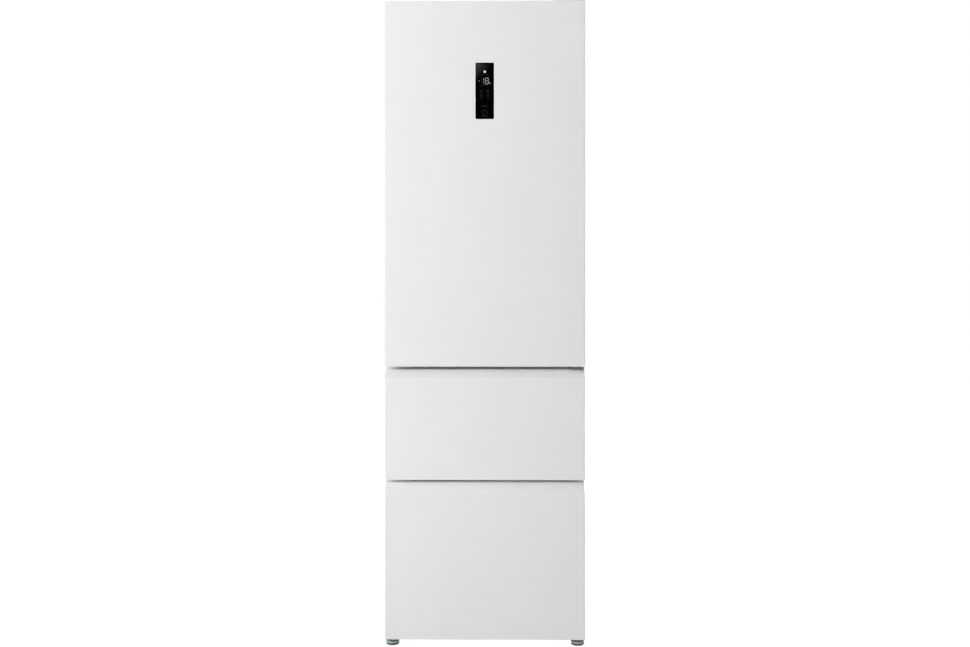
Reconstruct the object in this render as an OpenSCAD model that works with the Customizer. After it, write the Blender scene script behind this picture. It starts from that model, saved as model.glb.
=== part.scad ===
// Fridge freezer with a hinged fridge door above two pull-out freezer drawers.
// The fronts face -Y, the floor is z = 0, and the origin is under the middle of the whole body.

/* [Body] */
// Width over the side panels
body_w = 599; // [585:1:640]
// Depth of the case from its front flange to its rear panel
case_d = 590; // [580:1:640]
// Height of the lowest front above the floor
ground = 26; // [26:1:40]
// Thickness of the painted steel sheet
skin_t = 1; // [0.8:0.1:1.4]
// Thickness of the moulded liners
liner_t = 2; // [1.6:0.1:2.6]
// Side wall, from the outer sheet to the inside of the liner
side_wall = 42; // [42:1:50]
// Top wall of the fridge
top_wall = 40; // [38:1:60]
// Wall behind the compartments
back_wall = 52; // [48:1:60]
// Wall under the freezer
floor_wall = 50; // [48:1:60]
// Depth of the machine bay behind the freezer
bay_d = 190; // [185:1:200]
// Height of the machine bay
bay_h = 200; // [195:1:230]
// Depth of the spacers that keep the back off a wall
spacer_d = 8; // [6:1:30]

/* [Fronts] */
// Thickness of the door and of both drawer fronts
front_t = 62; // [60:1:70]
// Air gap between the case and the fronts, which the seals fill
seal_gap = 12; // [11:0.5:14]
// Height of the lower drawer front
lower_front_h = 468; // [450:1:520]
// Height of the middle drawer front
middle_front_h = 330; // [310:1:360]
// Height of the fridge door
door_h = 1091; // [1060:1:1160]
// Gap between one front and the next
front_gap = 9; // [9:1:16]
// Rounding of the upright front edges
edge_r = 2; // [1.5:0.5:6]
// Height of the sloped grip on a drawer front
grip_h = 26.5; // [20:0.5:30]
// Depth to which the grip slopes back
grip_d = 30; // [26:0.5:32]
// Rounding where the front turns into the grip
grip_r = 10; // [6:1:12]
// Depth of the finger channel behind the grip
channel_d = 16; // [12:1:20]
// Height of the caps that close the ends of a front
cap_h = 16; // [16:1:20]
// Width of the magnetic seals
seal_w = 18; // [15:1:18]

/* [Display] */
// Width of the glass control panel
display_w = 55; // [45:1:80]
// Height of the glass control panel
display_h = 168; // [120:1:200]
// Distance from the top of the door to the panel
display_drop = 184; // [100:1:300]

/* [Hinges] */
// Radius of the hinge pins
pin_r = 4; // [3:0.5:5]
// Running clearance round a pin
pin_gap = 0.08; // [0.05:0.01:0.1]
// Distance of the pins from the side of the door
hinge_in = 18; // [16:1:19]
// Distance of the pins behind the front face
hinge_back = 30; // [28:1:32]
// Thickness of the hinge plates
hinge_t = 4.5; // [3:0.5:5]
// Width of the middle hinge
hinge_w = 40; // [34:1:60]

/* [Fridge compartment] */
// Distance from the case front to the front of the shelves
shelf_in = 112; // [110:1:140]
// Thickness of the shelf glass
glass_t = 4; // [3:0.5:5]
// Height between two shelves
shelf_pitch = 212; // [200:1:220]
// Height of the crisper drawer
crisper_h = 183; // [170:1:200]
// Height of the chill drawer
chill_h = 108; // [90:1:120]
// Wall thickness of the clear drawers, balconies and baskets
tub_t = 2.5; // [2:0.1:3.5]
// Height of the two upper door balconies
balcony_h = 86; // [70:1:110]
// Height of the bottle balcony
bottle_h = 140; // [110:1:160]
// How far the balconies reach into the case
balcony_in = 92; // [80:1:100]
// Height of the middle balcony over the bottle balcony
middle_balcony_up = 330; // [200:5:360]
// Height of the upper balcony over the bottle balcony
upper_balcony_up = 620; // [480:5:760]

/* [Freezer compartment] */
// Space between the middle drawer's slides and the panel behind them
middle_rail_back = 48; // [20:1:100]
// Space between the lower drawer's slides and the step over the machine bay
lower_rail_back = 14; // [8:1:60]
// Height of a drawer slide
rail_h = 35; // [32:1:38]
// Height of the middle basket
middle_basket_h = 205; // [150:1:215]
// Height of the lower basket
lower_basket_h = 300; // [250:1:310]
// Depth of the sliding tray, front to back
tray_d = 216; // [150:1:230]
// Height of the sliding tray
tray_h = 60; // [40:1:80]
// Number of fins on the evaporator
fin_count = 16; // [12:1:24]
// Number of fan blades
blade_count = 7; // [5:1:9]

/* [Feet] */
// Radius of a levelling foot
foot_r = 20; // [18:0.5:24]
// Distance of the feet behind the front face
foot_back = 45; // [42:1:60]
// Radius of a foot's threaded stud
stud_r = 5; // [4:0.5:6]
// Radius of the rear rollers
roller_r = 10.5; // [9:0.5:11]

/* [Hidden] */
$fn = 48;
fit = 0.2;            // gap between pieces that lie on or in each other
rest_gap = 0.3;       // gap under what sits loose or slides
arc_n = 5;            // flats in a quarter-turn of rounding
weld = 1;             // overlap of two stretches of one solid
past = 5;             // how far a cutting shape runs past what it cuts
chamfer_shift = sqrt(2) - 1;
head_fn = 16;         // sides of small round heads and notches

// Widths
hw = body_w / 2;
in_hw = hw - side_wall;
mouth_hw = in_hw + 1;
lip_w = 12;

// Depths
total_d = front_t + seal_gap + case_d + spacer_d;
front_y = -total_d / 2;
front_back = front_y + front_t;
case_y = front_back + seal_gap;
rear_y = case_y + case_d;
space_back = rear_y - back_wall;
plate_y = front_back - skin_t - fit;
cap_back = plate_y - liner_t - fit;
bay_y = rear_y - bay_d;

// Heights
lower_z0 = ground;
lower_z1 = lower_z0 + lower_front_h;
middle_z0 = lower_z1 + front_gap;
middle_z1 = middle_z0 + middle_front_h;
door_z0 = middle_z1 + front_gap;
door_z1 = door_z0 + door_h;
case_gap = 2;         // the case is this much lower and higher than the fronts
case_z0 = ground - case_gap;
case_z1 = door_z1 + case_gap;
seal_edge = 12;       // from the top or bottom edge of a front to its seal
seal_side = 20;       // from the side of a front to its seal
land = seal_edge + seal_w;
fridge_z0 = door_z0 + land;
fridge_z1 = case_z1 - top_wall;
freezer_z1 = middle_z1 - land;
beam_z1 = middle_z0 + land;
beam_z0 = lower_z1 - land;
freezer_z0 = case_z0 + floor_wall;
bay_z = case_z0 + bay_h;
bay_chamfer = 40;
bay_wall = 50;
step_y = bay_y - bay_wall;
step_z = bay_z + 45;
space_r = 14;         // rounding of the compartments' long edges

// Hinges
hinge_x = hw - hinge_in;
hinge_y = front_y + hinge_back;
pin_reach = 13;       // how far a pin goes into the door
pin_bore = 15;        // depth of its bore
bore_r = pin_r + pin_gap;
hinge_pad = 12;       // metal round a pin
boss_w = 4;           // ring under the door that carries its weight
hinge_drop = 2.5;     // from the bottom of the door to the middle hinge
mid_plate_z = door_z0 - hinge_drop - hinge_t;
mid_hinge_x1 = hw - 2;
mid_hinge_x0 = mid_hinge_x1 - hinge_w;
leg_t = 3;
leg_over = 9;         // how far the leg covers the case below and above the gap
leg_z0 = middle_z1 - leg_over;
leg_z1 = door_z0 + leg_over;
leg_screw_r = 4;
leg_screw_z = leg_z0 + leg_screw_r + 1;
top_plate_z = case_z1;
top_plate_w = 74;
top_plate_x1 = hinge_x + hinge_pad - 1;
top_plate_x0 = top_plate_x1 - top_plate_w;
top_plate_back = case_y + 62;
top_plate_front = 8;  // how far the plate stands over the seal
screw_r = 5;
screw_h = 3;
screw_in = 13;        // from the edge of the top hinge to its screws
cover_h = 14;
cover_x0 = hw - 95;
cover_x1 = hw - 3;
cover_y0 = front_y + 12;
cover_y1 = case_y + 76;
cover_t = 2;
cover_r = 7;          // rounding of the top edges
cover_corner = 14;    // rounding of the upright edges

// Fridge compartment
shelf_y0 = case_y + shelf_in;
trim_d = 14;
duct_t = 14;
shelf_y1 = space_back - duct_t - 2;
shelf_side = 3;
ledge_w = 11;
ledge_t = 4;
crisper_z0 = fridge_z0 + rest_gap;
crisper_shelf_z = crisper_z0 + crisper_h + 8;
chill_z0 = crisper_shelf_z + glass_t + rest_gap;
shelf_1_z = chill_z0 + chill_h + 14;
shelf_2_z = shelf_1_z + shelf_pitch;
shelf_3_z = shelf_2_z + shelf_pitch;
shelf_zs = [crisper_shelf_z, shelf_1_z, shelf_2_z, shelf_3_z];
spare_zs = [shelf_1_z + shelf_pitch / 2, shelf_2_z + shelf_pitch / 2, shelf_3_z + shelf_pitch / 2];
drawer_y0 = shelf_y0 + trim_d + 1;
drawer_y1 = shelf_y1 - 20;

// Door inside
ridge_gap = 8;
ridge_w = 26;
ridge_y = case_y + 22;
ridge_r = 18;
lug_w = 6;
lug_d = 20;
lug_h = 10;
lug_in = 10;          // from the liner to the lugs
lug_up = 20;          // from the bottom of a balcony to its lugs
hook_t = 8;
balcony_hw = in_hw - ridge_gap - ridge_w - lug_w - 1;
balcony_y0 = plate_y + 1;
balcony_y1 = case_y + balcony_in;
balcony_r = 24;
bottle_z = fridge_z0 + 34;
balcony_zs = [bottle_z + middle_balcony_up, bottle_z + upper_balcony_up];

// Freezer inside
front_ridge_gap = 24;
front_ridge_w = 20;
front_ridge_y = case_y + 14;
slide_gap = 0.3;      // running gap between slide members
member_t = 1.5;
member_pitch = member_t + slide_gap;
cooler_room = 84;     // depth of the room for the evaporator and its fan
freezer_duct_y = space_back - cooler_room;
rail_y0 = case_y + 6;
middle_rail_l = freezer_duct_y - middle_rail_back - rail_y0;
lower_rail_l = step_y - lower_rail_back - rail_y0;
middle_rail_z = beam_z1 + 3 + rail_h / 2;
lower_rail_z = freezer_z0 + space_r + 2 + rail_h / 2;
rail_depth = 12;      // how far the fixed channel stands off the wall
runner_side = rail_depth + 1.5;
foot_w = 22;          // ledge of a runner that carries the basket
runner_h = rail_h - 4 * member_pitch;
tub_side = runner_side + 2;
basket_y0 = case_y + 18;
basket_y1 = freezer_duct_y - 6;
drawer_ridge_hw = in_hw - front_ridge_gap;
middle_ridge = [beam_z1 + ridge_gap, freezer_z1 - ridge_gap];
lower_ridge = [freezer_z0 + ridge_gap, beam_z0 - ridge_gap];
middle_basket_z0 = middle_rail_z - runner_h / 2 + member_t + rest_gap;
lower_basket_z0 = lower_rail_z - runner_h / 2 + member_t + rest_gap;
basket_r = 20;
basket_hw = in_hw - tub_side;
tray_z1 = lower_basket_z0 + lower_basket_h + rest_gap;
tray_rim = 3;
dip_d = 45;           // lower front rim of a basket
dip_hw = 110;
dip_slope = 30;

// Fan
fan_r = 48;
fan_gap = 4;
fan_drop = 90;        // from the top of the freezer to the fan's axis
fan_z = freezer_z1 - fan_drop;
fan_y = freezer_duct_y + 20;
fan_l = 22;
fan_hub_r = 15;
shaft_r = 2;

// Under the case
base_t = 1.5;
bracket_t = 3;
foot_x = hw - foot_r;
foot_y = front_y + foot_back;
bracket_r = foot_r + 1;
collar_r = stud_r + 4;
collar_h = 6;
foot_top = case_z0 - bracket_t - collar_h - 0.5;
roller_x = hw - 34;
roller_y = rear_y - 34;
roller_w = 22;
roller_z = roller_r;
axle_r = 3;
ear_t = 2.5;

function arc(cx, cy, r, a0, a1) =
    [for (i = [0 : arc_n]) let (a = a0 + (a1 - a0) * i / arc_n) [cx + r * cos(a), cy + r * sin(a)]];

// Outline of the case seen from the front, with rounded top corners
function case_outline(z0, inset) = concat(
    [[hw - inset, z0]], arc(hw - edge_r, case_z1 - edge_r, edge_r - inset, 0, 90),
    arc(-hw + edge_r, case_z1 - edge_r, edge_r - inset, 90, 180), [[-hw + inset, z0]]);

function rounded(x0, y0, x1, y1, r) = concat(
    arc(x1 - r, y1 - r, r, 0, 90), arc(x0 + r, y1 - r, r, 90, 180),
    arc(x0 + r, y0 + r, r, 180, 270), arc(x1 - r, y0 + r, r, 270, 360));

function shrunk(x0, y0, x1, y1, r, t) = rounded(x0 + t, y0 + t, x1 - t, y1 - t, r - t);

module box(a, b) translate(a) cube(b - a);

module along_x(x0, x1) translate([x0, 0, 0]) rotate([90, 0, 90]) linear_extrude(x1 - x0) children();

module along_y(y0, y1) translate([0, y1, 0]) rotate([90, 0, 0]) linear_extrude(y1 - y0) children();

module along_z(z0, z1) translate([0, 0, z0]) linear_extrude(z1 - z0) children();

module both_sides() {
    children();
    mirror([1, 0, 0]) children();
}

// Compartments

module fridge_space(y0, grow) along_y(y0, space_back + grow)
    polygon(rounded(-in_hw - grow, fridge_z0 - grow, in_hw + grow, fridge_z1 + grow, space_r + grow));

function freezer_side(y0, grow) = [
    [y0, freezer_z0 - grow],
    [step_y + grow, freezer_z0 - grow],
    [step_y + grow, step_z - bay_chamfer - grow * chamfer_shift],
    [step_y + bay_chamfer + grow * chamfer_shift, step_z - grow],
    [space_back + grow, step_z - grow],
    [space_back + grow, freezer_z1 + grow],
    [y0, freezer_z1 + grow]];

module freezer_space(y0, grow) intersection() {
    along_x(-in_hw - grow, in_hw + grow) polygon(freezer_side(y0, grow));
    along_y(y0, space_back + grow)
        polygon(rounded(-in_hw - grow, freezer_z0 - grow, in_hw + grow, freezer_z1 + grow, space_r + grow));
}

function bay_side(grow) = [
    [bay_y - grow, case_z0 - past],
    [bay_y - grow, bay_z - bay_chamfer + grow * chamfer_shift],
    [bay_y + bay_chamfer - grow * chamfer_shift, bay_z + grow],
    [rear_y + past, bay_z + grow],
    [rear_y + past, case_z0 - past]];

// Case

module outer_case() color("whitesmoke") difference() {
    along_y(case_y, rear_y) polygon(case_outline(case_z0, 0));
    along_y(case_y + skin_t, rear_y + past) polygon(case_outline(case_z0 - past, skin_t));
    along_y(case_y - past, case_y + skin_t + past)
        polygon(rounded(-mouth_hw, case_z0 - past - space_r, mouth_hw, fridge_z1 + 1, space_r));
}

module insulation() color("khaki") difference() {
    along_y(case_y + skin_t + liner_t + fit, rear_y - skin_t - fit)
        polygon(case_outline(case_z0 + base_t + fit, skin_t + fit));
    fridge_space(case_y, liner_t + fit);
    freezer_space(case_y, liner_t + fit);
    along_x(-hw - past, hw + past) polygon(bay_side(skin_t + fit));
}

// A liner is open at the front and has a lip behind the flange of the case.
module liner_lip(z0, z1) along_y(case_y + skin_t, case_y + skin_t + liner_t)
    polygon(rounded(-in_hw - lip_w, z0, in_hw + lip_w, z1, space_r));

module ledge(z, y0) both_sides()
    box([in_hw - ledge_w, y0, z - ledge_t], [in_hw + weld, space_back - weld, z]);

module fridge_liner() color("white") {
    difference() {
        union() {
            fridge_space(case_y + skin_t, liner_t);
            liner_lip(fridge_z0 - lip_w, fridge_z1 + lip_w);
        }
        fridge_space(case_y, 0);
    }
    for (z = concat(shelf_zs, spare_zs)) ledge(z, shelf_y0 + trim_d + 1);
}

module freezer_liner() color("white") difference() {
    union() {
        freezer_space(case_y + skin_t, liner_t);
        liner_lip(freezer_z0 - lip_w, freezer_z1 + lip_w);
    }
    freezer_space(case_y, 0);
}

beam_d = 48;
beam_t = 2;

// The upper rail covers the divider, and the lower one is a beam that both drawer seals close on.
module cross_rails() color("whitesmoke") {
    box([-mouth_hw + fit, case_y, freezer_z1 + 1], [mouth_hw - fit, case_y + skin_t, fridge_z0 - 1]);
    difference() {
        box([-in_hw + rest_gap, case_y, beam_z0], [in_hw - rest_gap, case_y + beam_d, beam_z1]);
        box([-in_hw - past, case_y + beam_t, beam_z0 + beam_t],
            [in_hw + past, case_y + beam_d - beam_t, beam_z1 - beam_t]);
    }
}

// Outline of a pressed bead with round ends
function long_bead(x, w, y0, y1) = rounded(x - w / 2, y0, x + w / 2, y1, w / 2 - 1);

bead_w = 36;
bead_h = 2;
bead_up = 70;         // from the machine bay to the foot of a bead
bead_drop = 150;      // from the top of the case to the head of a bead

module rear_panel() color("gainsboro") {
    panel_hw = hw - skin_t - fit;
    intersection() {
        along_x(-panel_hw, panel_hw) difference() {
            polygon(bay_side(skin_t));
            polygon(bay_side(0));
        }
        box([-hw, bay_y - past, case_z0 + base_t + fit], [hw, rear_y, bay_z + past]);
    }
    along_y(rear_y - skin_t, rear_y) polygon(case_outline(bay_z, skin_t + fit));
    for (x = [-hw / 2, 0, hw / 2]) along_y(rear_y - skin_t, rear_y + bead_h)
        polygon(long_bead(x, bead_w, bay_z + bead_up, case_z1 - bead_drop));
}

slot_rows = 8;
slot_pitch = 13;
slot_w = 96;
slot_h = 5;
slot_up = 52;         // from the bottom of the case to the lowest slots
slot_gap = 14;        // between two columns of slots
cover_hw = hw - skin_t - 2;
cover_sheet = 2;
cover_flange = 16;

module machine_cover() color("dimgray") difference() {
    union() {
        box([-cover_hw, rear_y - cover_sheet, case_z0 + base_t + rest_gap],
            [cover_hw, rear_y, bay_z - rest_gap]);
        both_sides() box([cover_hw - cover_sheet, rear_y - cover_flange, case_z0 + base_t + rest_gap],
            [cover_hw, rear_y, bay_z - skin_t - rest_gap]);
    }
    translate([0, rear_y - cover_sheet / 2, case_z0 + slot_up])
        for (column = [-2 : 2], row = [0 : slot_rows - 1])
            translate([column * (slot_w + slot_gap), 0, row * slot_pitch])
                cube([slot_w, past, slot_h], center = true);
    translate([gland_x, rear_y, gland_z]) rotate([90, 0, 0])
        cylinder(r = gland_r + fit, h = past * 2, center = true);
}

// Bush of the mains lead, in the lower corner of the machine cover
gland_r = 8;
gland_bore = 4.2;
gland_in = 22;        // from the side of the cover
gland_up = 24;        // from the bottom of the case
gland_x = -cover_hw + gland_in;
gland_z = case_z0 + gland_up;
gland_l = 10;
gland_head = 5;
gland_rim = 3;

module mains_gland() color("black") translate([gland_x, rear_y, gland_z]) rotate([90, 0, 0])
    difference() {
        union() {
            translate([0, 0, -gland_head]) cylinder(r = gland_r + gland_rim, h = gland_head - rest_gap);
            translate([0, 0, -gland_head]) cylinder(r = gland_r, h = gland_l);
        }
        translate([0, 0, -gland_head - past]) cylinder(r = gland_bore, h = gland_l + past * 2);
    }

bracket_back = 70;    // how far a foot bracket runs under the case
bracket_side = 3;     // how much narrower it is towards the outer side

module foot_bracket() difference() {
    union() {
        box([foot_x - bracket_r, foot_y, case_z0 - bracket_t],
            [foot_x + bracket_r - bracket_side, case_y + bracket_back, case_z0]);
        translate([foot_x, foot_y, case_z0 - bracket_t]) {
            cylinder(r = bracket_r - bracket_side, h = bracket_t);
            translate([0, 0, -collar_h]) cylinder(r = collar_r, h = collar_h + weld);
        }
    }
    translate([foot_x, foot_y, 0]) cylinder(r = stud_r + pin_gap, h = case_z0 + past);
}

ear_r = axle_r + 3;
ear_w = 30;

module roller_fork() {
    half = roller_w / 2 + rest_gap;
    for (side = [-1, 1]) hull() {
        translate([roller_x + side * (half + ear_t / 2), roller_y, roller_z]) rotate([0, 90, 0])
            cylinder(r = ear_r, h = ear_t, center = true, $fn = 32);
        translate([roller_x + side * (half + ear_t / 2), roller_y, case_z0 + base_t / 2])
            cube([ear_t, ear_w, base_t], center = true);
    }
    translate([roller_x, roller_y, roller_z]) rotate([0, 90, 0])
        cylinder(r = axle_r, h = 2 * half + 2 * ear_t, center = true);
}

base_bead_w = 30;
base_bead_h = 4;
base_bead_in = 150;   // from the middle to the outer beads
base_bead_front = 60; // from the case front to a bead
base_bead_back = 30;  // from a bead to the machine bay
bay_flange = 24;      // height of the flanges beside the machine bay
bay_flange_front = 4; // from the front wall of the bay to a flange
bay_flange_in = 20;   // from the back of the case to a flange

module base_frame() color("silver") {
    sheet_hw = hw - skin_t - fit;
    for (x = [-base_bead_in, 0, base_bead_in]) along_z(case_z0 - base_bead_h, case_z0 + base_t)
        polygon(long_bead(x, base_bead_w, case_y + base_bead_front, bay_y - base_bead_back));
    box([-mouth_hw + fit, case_y, case_z0], [mouth_hw - fit, case_y + skin_t, freezer_z0 - 1]);
    box([-mouth_hw + fit, case_y, case_z0], [mouth_hw - fit, rear_y - past, case_z0 + base_t]);
    box([-sheet_hw, case_y + skin_t + fit, case_z0],
        [sheet_hw, rear_y - cover_sheet - fit, case_z0 + base_t]);
    both_sides() {
        foot_bracket();
        roller_fork();
        box([sheet_hw - base_t, bay_y + bay_flange_front, case_z0],
            [sheet_hw, rear_y - bay_flange_in, case_z0 + bay_flange]);
    }
}

compressor_x = 120;
compressor_y = bay_y + (bay_d - cover_sheet) / 2;
compressor_r = 66;
compressor_h = 140;
dome_r = 34;          // rounding of the top
bowl_r = 14;          // rounding of the bottom
bowl_z = 6;
belt_z = 64;          // welded joint of the two half shells
belt = 4;
mount_x = 62;
mount_y = 44;
mount_h = 8;
mount_r = 11;
plate_r = 16;
plate_h = 4;
bolt_r = 5;
bolt_h = 6;
relay_w = 26;         // box of the electric terminals
relay_z = 30;
relay_h = 56;
pipe_r = 4;
pipe_z = 92;
pipe_y = 18;
pipe_out = 28;
elbow_r = 5;
pipe_root = 6;        // how deep a pipe or the box is welded into the shell
strap_hd = 10;        // half the depth of the strap under the bowl
compressor_z = case_z0 + base_t + mount_h;

module compressor_pipe(y) {
    x1 = compressor_r + pipe_out;
    translate([compressor_r - pipe_root, y, pipe_z]) rotate([0, 90, 0])
        cylinder(r = pipe_r, h = pipe_out + pipe_root);
    translate([x1, y, pipe_z]) sphere(r = elbow_r);
    translate([x1, y, pipe_z]) cylinder(r = pipe_r, h = bay_z - rest_gap - compressor_z - pipe_z);
}

module compressor() color("#202225") translate([compressor_x, compressor_y, compressor_z]) {
    rotate_extrude() polygon(concat(
        [[0, bowl_z]], arc(compressor_r - bowl_r, bowl_z + bowl_r, bowl_r, 270, 360),
        [[compressor_r, belt_z], [compressor_r + belt, belt_z],
         [compressor_r + belt, belt_z + belt], [compressor_r, belt_z + belt]],
        arc(compressor_r - dome_r, compressor_h - dome_r, dome_r, 0, 90), [[0, compressor_h]]));
    for (x = [-mount_x, mount_x], y = [-mount_y, mount_y]) translate([x, y, 0]) {
        cylinder(r = plate_r, h = plate_h);
        translate([0, 0, -mount_h]) cylinder(r = mount_r, h = mount_h + weld);
        translate([0, 0, plate_h - weld]) cylinder(r = bolt_r, h = bolt_h + weld);
    }
    both_sides() box([mount_x - plate_r, -mount_y, 0], [mount_x + plate_r, mount_y, plate_h]);
    box([-mount_x - plate_r, -strap_hd, 0], [mount_x + plate_r, strap_hd, bowl_z + plate_h]);
    box([-compressor_r - relay_w, -relay_w, relay_z],
        [-compressor_r + 2 * pipe_root, relay_w, relay_z + relay_h]);
    for (y = [-pipe_y, pipe_y]) compressor_pipe(y);
}

drip_hw = 82;
drip_hd = 62;
drip_h = 24;
drip_t = 2;
drip_r = 16;

// The tray lies on the warm compressor, where the defrost water dries.
module drip_tray() color("black")
    translate([compressor_x, compressor_y, compressor_z + compressor_h + rest_gap])
        tub(-drip_hw, -drip_hd, drip_hw, drip_hd, 0, drip_h, drip_r, drip_t);

spacer_w = 30;
spacer_h = 44;
spacer_in = 34;       // from the side of the case to a spacer
spacer_drop = 70;     // from the top of the case to the upper spacers
spacer_up = 40;       // from the machine bay to the lower spacers
spacer_r = 7;
spacer_wall = 2.5;

// Each spacer is a moulded cup that stands open towards the wall, with a rib across it.
module wall_spacers() color("dimgray") both_sides() for (z = [case_z1 - spacer_drop, bay_z + spacer_up]) {
    x0 = hw - spacer_in - spacer_w;
    x1 = hw - spacer_in;
    difference() {
        along_y(rear_y, rear_y + spacer_d) polygon(rounded(x0, z, x1, z + spacer_h, spacer_r));
        along_y(rear_y + spacer_wall, rear_y + spacer_d + past)
            polygon(shrunk(x0, z, x1, z + spacer_h, spacer_r, spacer_wall));
    }
    box([x0 + spacer_wall / 2, rear_y + spacer_wall - weld, z + (spacer_h - spacer_wall) / 2],
        [x1 - spacer_wall / 2, rear_y + spacer_d, z + (spacer_h + spacer_wall) / 2]);
}

// Hinges

module top_hinge() color("silver") {
    box([top_plate_x0, case_y - top_plate_front, top_plate_z],
        [top_plate_x1, top_plate_back, top_plate_z + hinge_t]);
    box([hinge_x - hinge_pad, hinge_y, top_plate_z], [top_plate_x1, case_y, top_plate_z + hinge_t]);
    translate([hinge_x, hinge_y, top_plate_z]) cylinder(r = hinge_pad - 1, h = hinge_t);
    translate([hinge_x, hinge_y, door_z1 - pin_reach])
        cylinder(r = pin_r, h = top_plate_z + hinge_t - door_z1 + pin_reach);
}

module top_hinge_cover() color("white") difference() {
    intersection() {
        along_y(cover_y0, cover_y1) polygon(concat([[cover_x1, case_z1]],
            arc(cover_x1 - cover_r, case_z1 + cover_h - cover_r, cover_r, 0, 90),
            arc(cover_x0 + cover_r, case_z1 + cover_h - cover_r, cover_r, 90, 180), [[cover_x0, case_z1]]));
        along_x(cover_x0, cover_x1) polygon(concat([[cover_y1, case_z1]],
            arc(cover_y1 - cover_r, case_z1 + cover_h - cover_r, cover_r, 0, 90),
            arc(cover_y0 + cover_r, case_z1 + cover_h - cover_r, cover_r, 90, 180), [[cover_y0, case_z1]]));
        along_z(case_z1 - past, case_z1 + cover_h + past)
            polygon(rounded(cover_x0, cover_y0, cover_x1, cover_y1, cover_corner));
    }
    along_z(case_z1 - past, case_z1 + cover_h - cover_t)
        polygon(shrunk(cover_x0, cover_y0, cover_x1, cover_y1, cover_corner, cover_t));
}

module middle_hinge() color("silver") {
    box([mid_hinge_x0, case_y - leg_t, leg_z0], [mid_hinge_x1, case_y, leg_z1]);
    along_z(mid_plate_z, mid_plate_z + hinge_t)
        polygon(rounded(mid_hinge_x0, hinge_y - hinge_pad, mid_hinge_x1, case_y - weld, leg_t));
    translate([hinge_x, hinge_y, mid_plate_z]) {
        cylinder(r = pin_r, h = door_z0 + pin_reach - mid_plate_z);
        cylinder(r = pin_r + boss_w, h = door_z0 - rest_gap - mid_plate_z);
    }
}

module hinge_screws() color("silver") {
    for (x = [top_plate_x0 + screw_in, top_plate_x1 - screw_in])
        for (y = [case_y + screw_in, top_plate_back - screw_in])
            translate([x, y, top_plate_z + hinge_t]) cylinder(r1 = screw_r, r2 = screw_r - 1, h = screw_h);
    for (x = [mid_hinge_x0 + 2 * leg_screw_r, mid_hinge_x1 - 2 * leg_screw_r])
        translate([x, case_y - leg_t, leg_screw_z]) rotate([90, 0, 0])
            cylinder(r1 = leg_screw_r, r2 = leg_screw_r - 1, h = screw_h);
}

// Fridge interior

module shelf_glass(z) color("lightcyan", 0.5)
    box([-in_hw + shelf_side, shelf_y0 + 3, z], [in_hw - shelf_side, shelf_y1 - 3, z + glass_t]);

trim_r = 5;
back_trim_d = 8;
back_trim_h = 12;     // how far the rear trim stands over the glass, so that nothing slides off

module shelf_trim(z) difference() {
    union() {
        along_x(-in_hw + shelf_side, in_hw - shelf_side) polygon(concat(
            [[shelf_y0 + trim_d, z + 1 - trim_r], [shelf_y0 + trim_d, z + glass_t - 3 + trim_r]],
            arc(shelf_y0 + trim_r, z + glass_t - 1, trim_r, 90, 180),
            arc(shelf_y0 + trim_r, z - 1, trim_r, 180, 270)));
        box([-in_hw + shelf_side, shelf_y1 - back_trim_d, z + rest_gap],
            [in_hw - shelf_side, shelf_y1, z + glass_t + back_trim_h]);
    }
    box([-in_hw, shelf_y0 + 3 - fit, z - fit], [in_hw, shelf_y1 - 3 + fit, z + glass_t + fit]);
}

module shelf_trims() color("white") for (z = shelf_zs) shelf_trim(z);

module tub(x0, y0, x1, y1, z0, z1, r, wall) difference() {
    along_z(z0, z1) polygon(rounded(x0, y0, x1, y1, r));
    along_z(z0 + wall, z1 + past) polygon(rounded(x0 + wall, y0 + wall, x1 - wall, y1 - wall, r - wall));
}

drawer_r = 12;
wall_drop = 6;        // how far the walls lie below the top of the front
face_t = 6;           // how much thicker the front is
face_up = 10;         // from the floor of the drawer to the thick part of its front
lip_r = 4;
lip_h = 12;           // height of the finger lip

// A clear drawer has a thick front with a finger lip along its top edge.
module clear_drawer(half, z0, h) color("lightcyan", 0.6) {
    face_y = drawer_y0 - face_t;
    tub(-half, drawer_y0, half, drawer_y1, z0, z0 + h - wall_drop, drawer_r, tub_t);
    along_x(-half, half) polygon(concat(
        [[drawer_y0 + tub_t, z0 + face_up], [drawer_y0 + tub_t, z0 + h - wall_drop]],
        [[drawer_y0 - lip_r, z0 + h]],
        arc(face_y, z0 + h - lip_r, lip_r, 90, 180),
        [[face_y - lip_r, z0 + h - lip_h], [face_y, z0 + h - lip_h - 2], [face_y, z0 + face_up]]));
}

module chill_drawer() clear_drawer(in_hw - ledge_w - 4, chill_z0, chill_h);

module crisper_drawer() clear_drawer(in_hw - space_r, crisper_z0, crisper_h);

duct_hw = 80;
duct_wall = 3;
duct_r = 24;
duct_up = 30;         // from the lowest glass shelf to the duct
duct_drop = 50;       // from the ceiling to the duct
duct_z0 = shelf_1_z + duct_up;
duct_z1 = fridge_z1 - duct_drop;
vent_pitch = 62;
vent_up = 50;         // from the bottom of the duct to its lowest vents
vent_x = 42;
vent_hole_w = 44;
vent_hole_h = 6;
vent_count = floor((duct_z1 - duct_z0 - vent_up - 10) / vent_pitch);

module air_duct() color("white") difference() {
    along_y(space_back - duct_t, space_back) polygon(rounded(-duct_hw, duct_z0, duct_hw, duct_z1, duct_r));
    along_y(space_back - duct_t + duct_wall, space_back + past)
        polygon(shrunk(-duct_hw, duct_z0, duct_hw, duct_z1, duct_r, duct_wall));
    for (i = [0 : vent_count - 1], x = [-vent_x, vent_x])
        translate([x, space_back - duct_t, duct_z0 + vent_up + i * vent_pitch])
            cube([vent_hole_w, 2 * past, vent_hole_h], center = true);
}

light_hw = 70;
light_d = 56;
light_t = 7;
light_lead = 34;      // how far the ceiling light lies in front of the shelves
light_r = 10;

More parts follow.
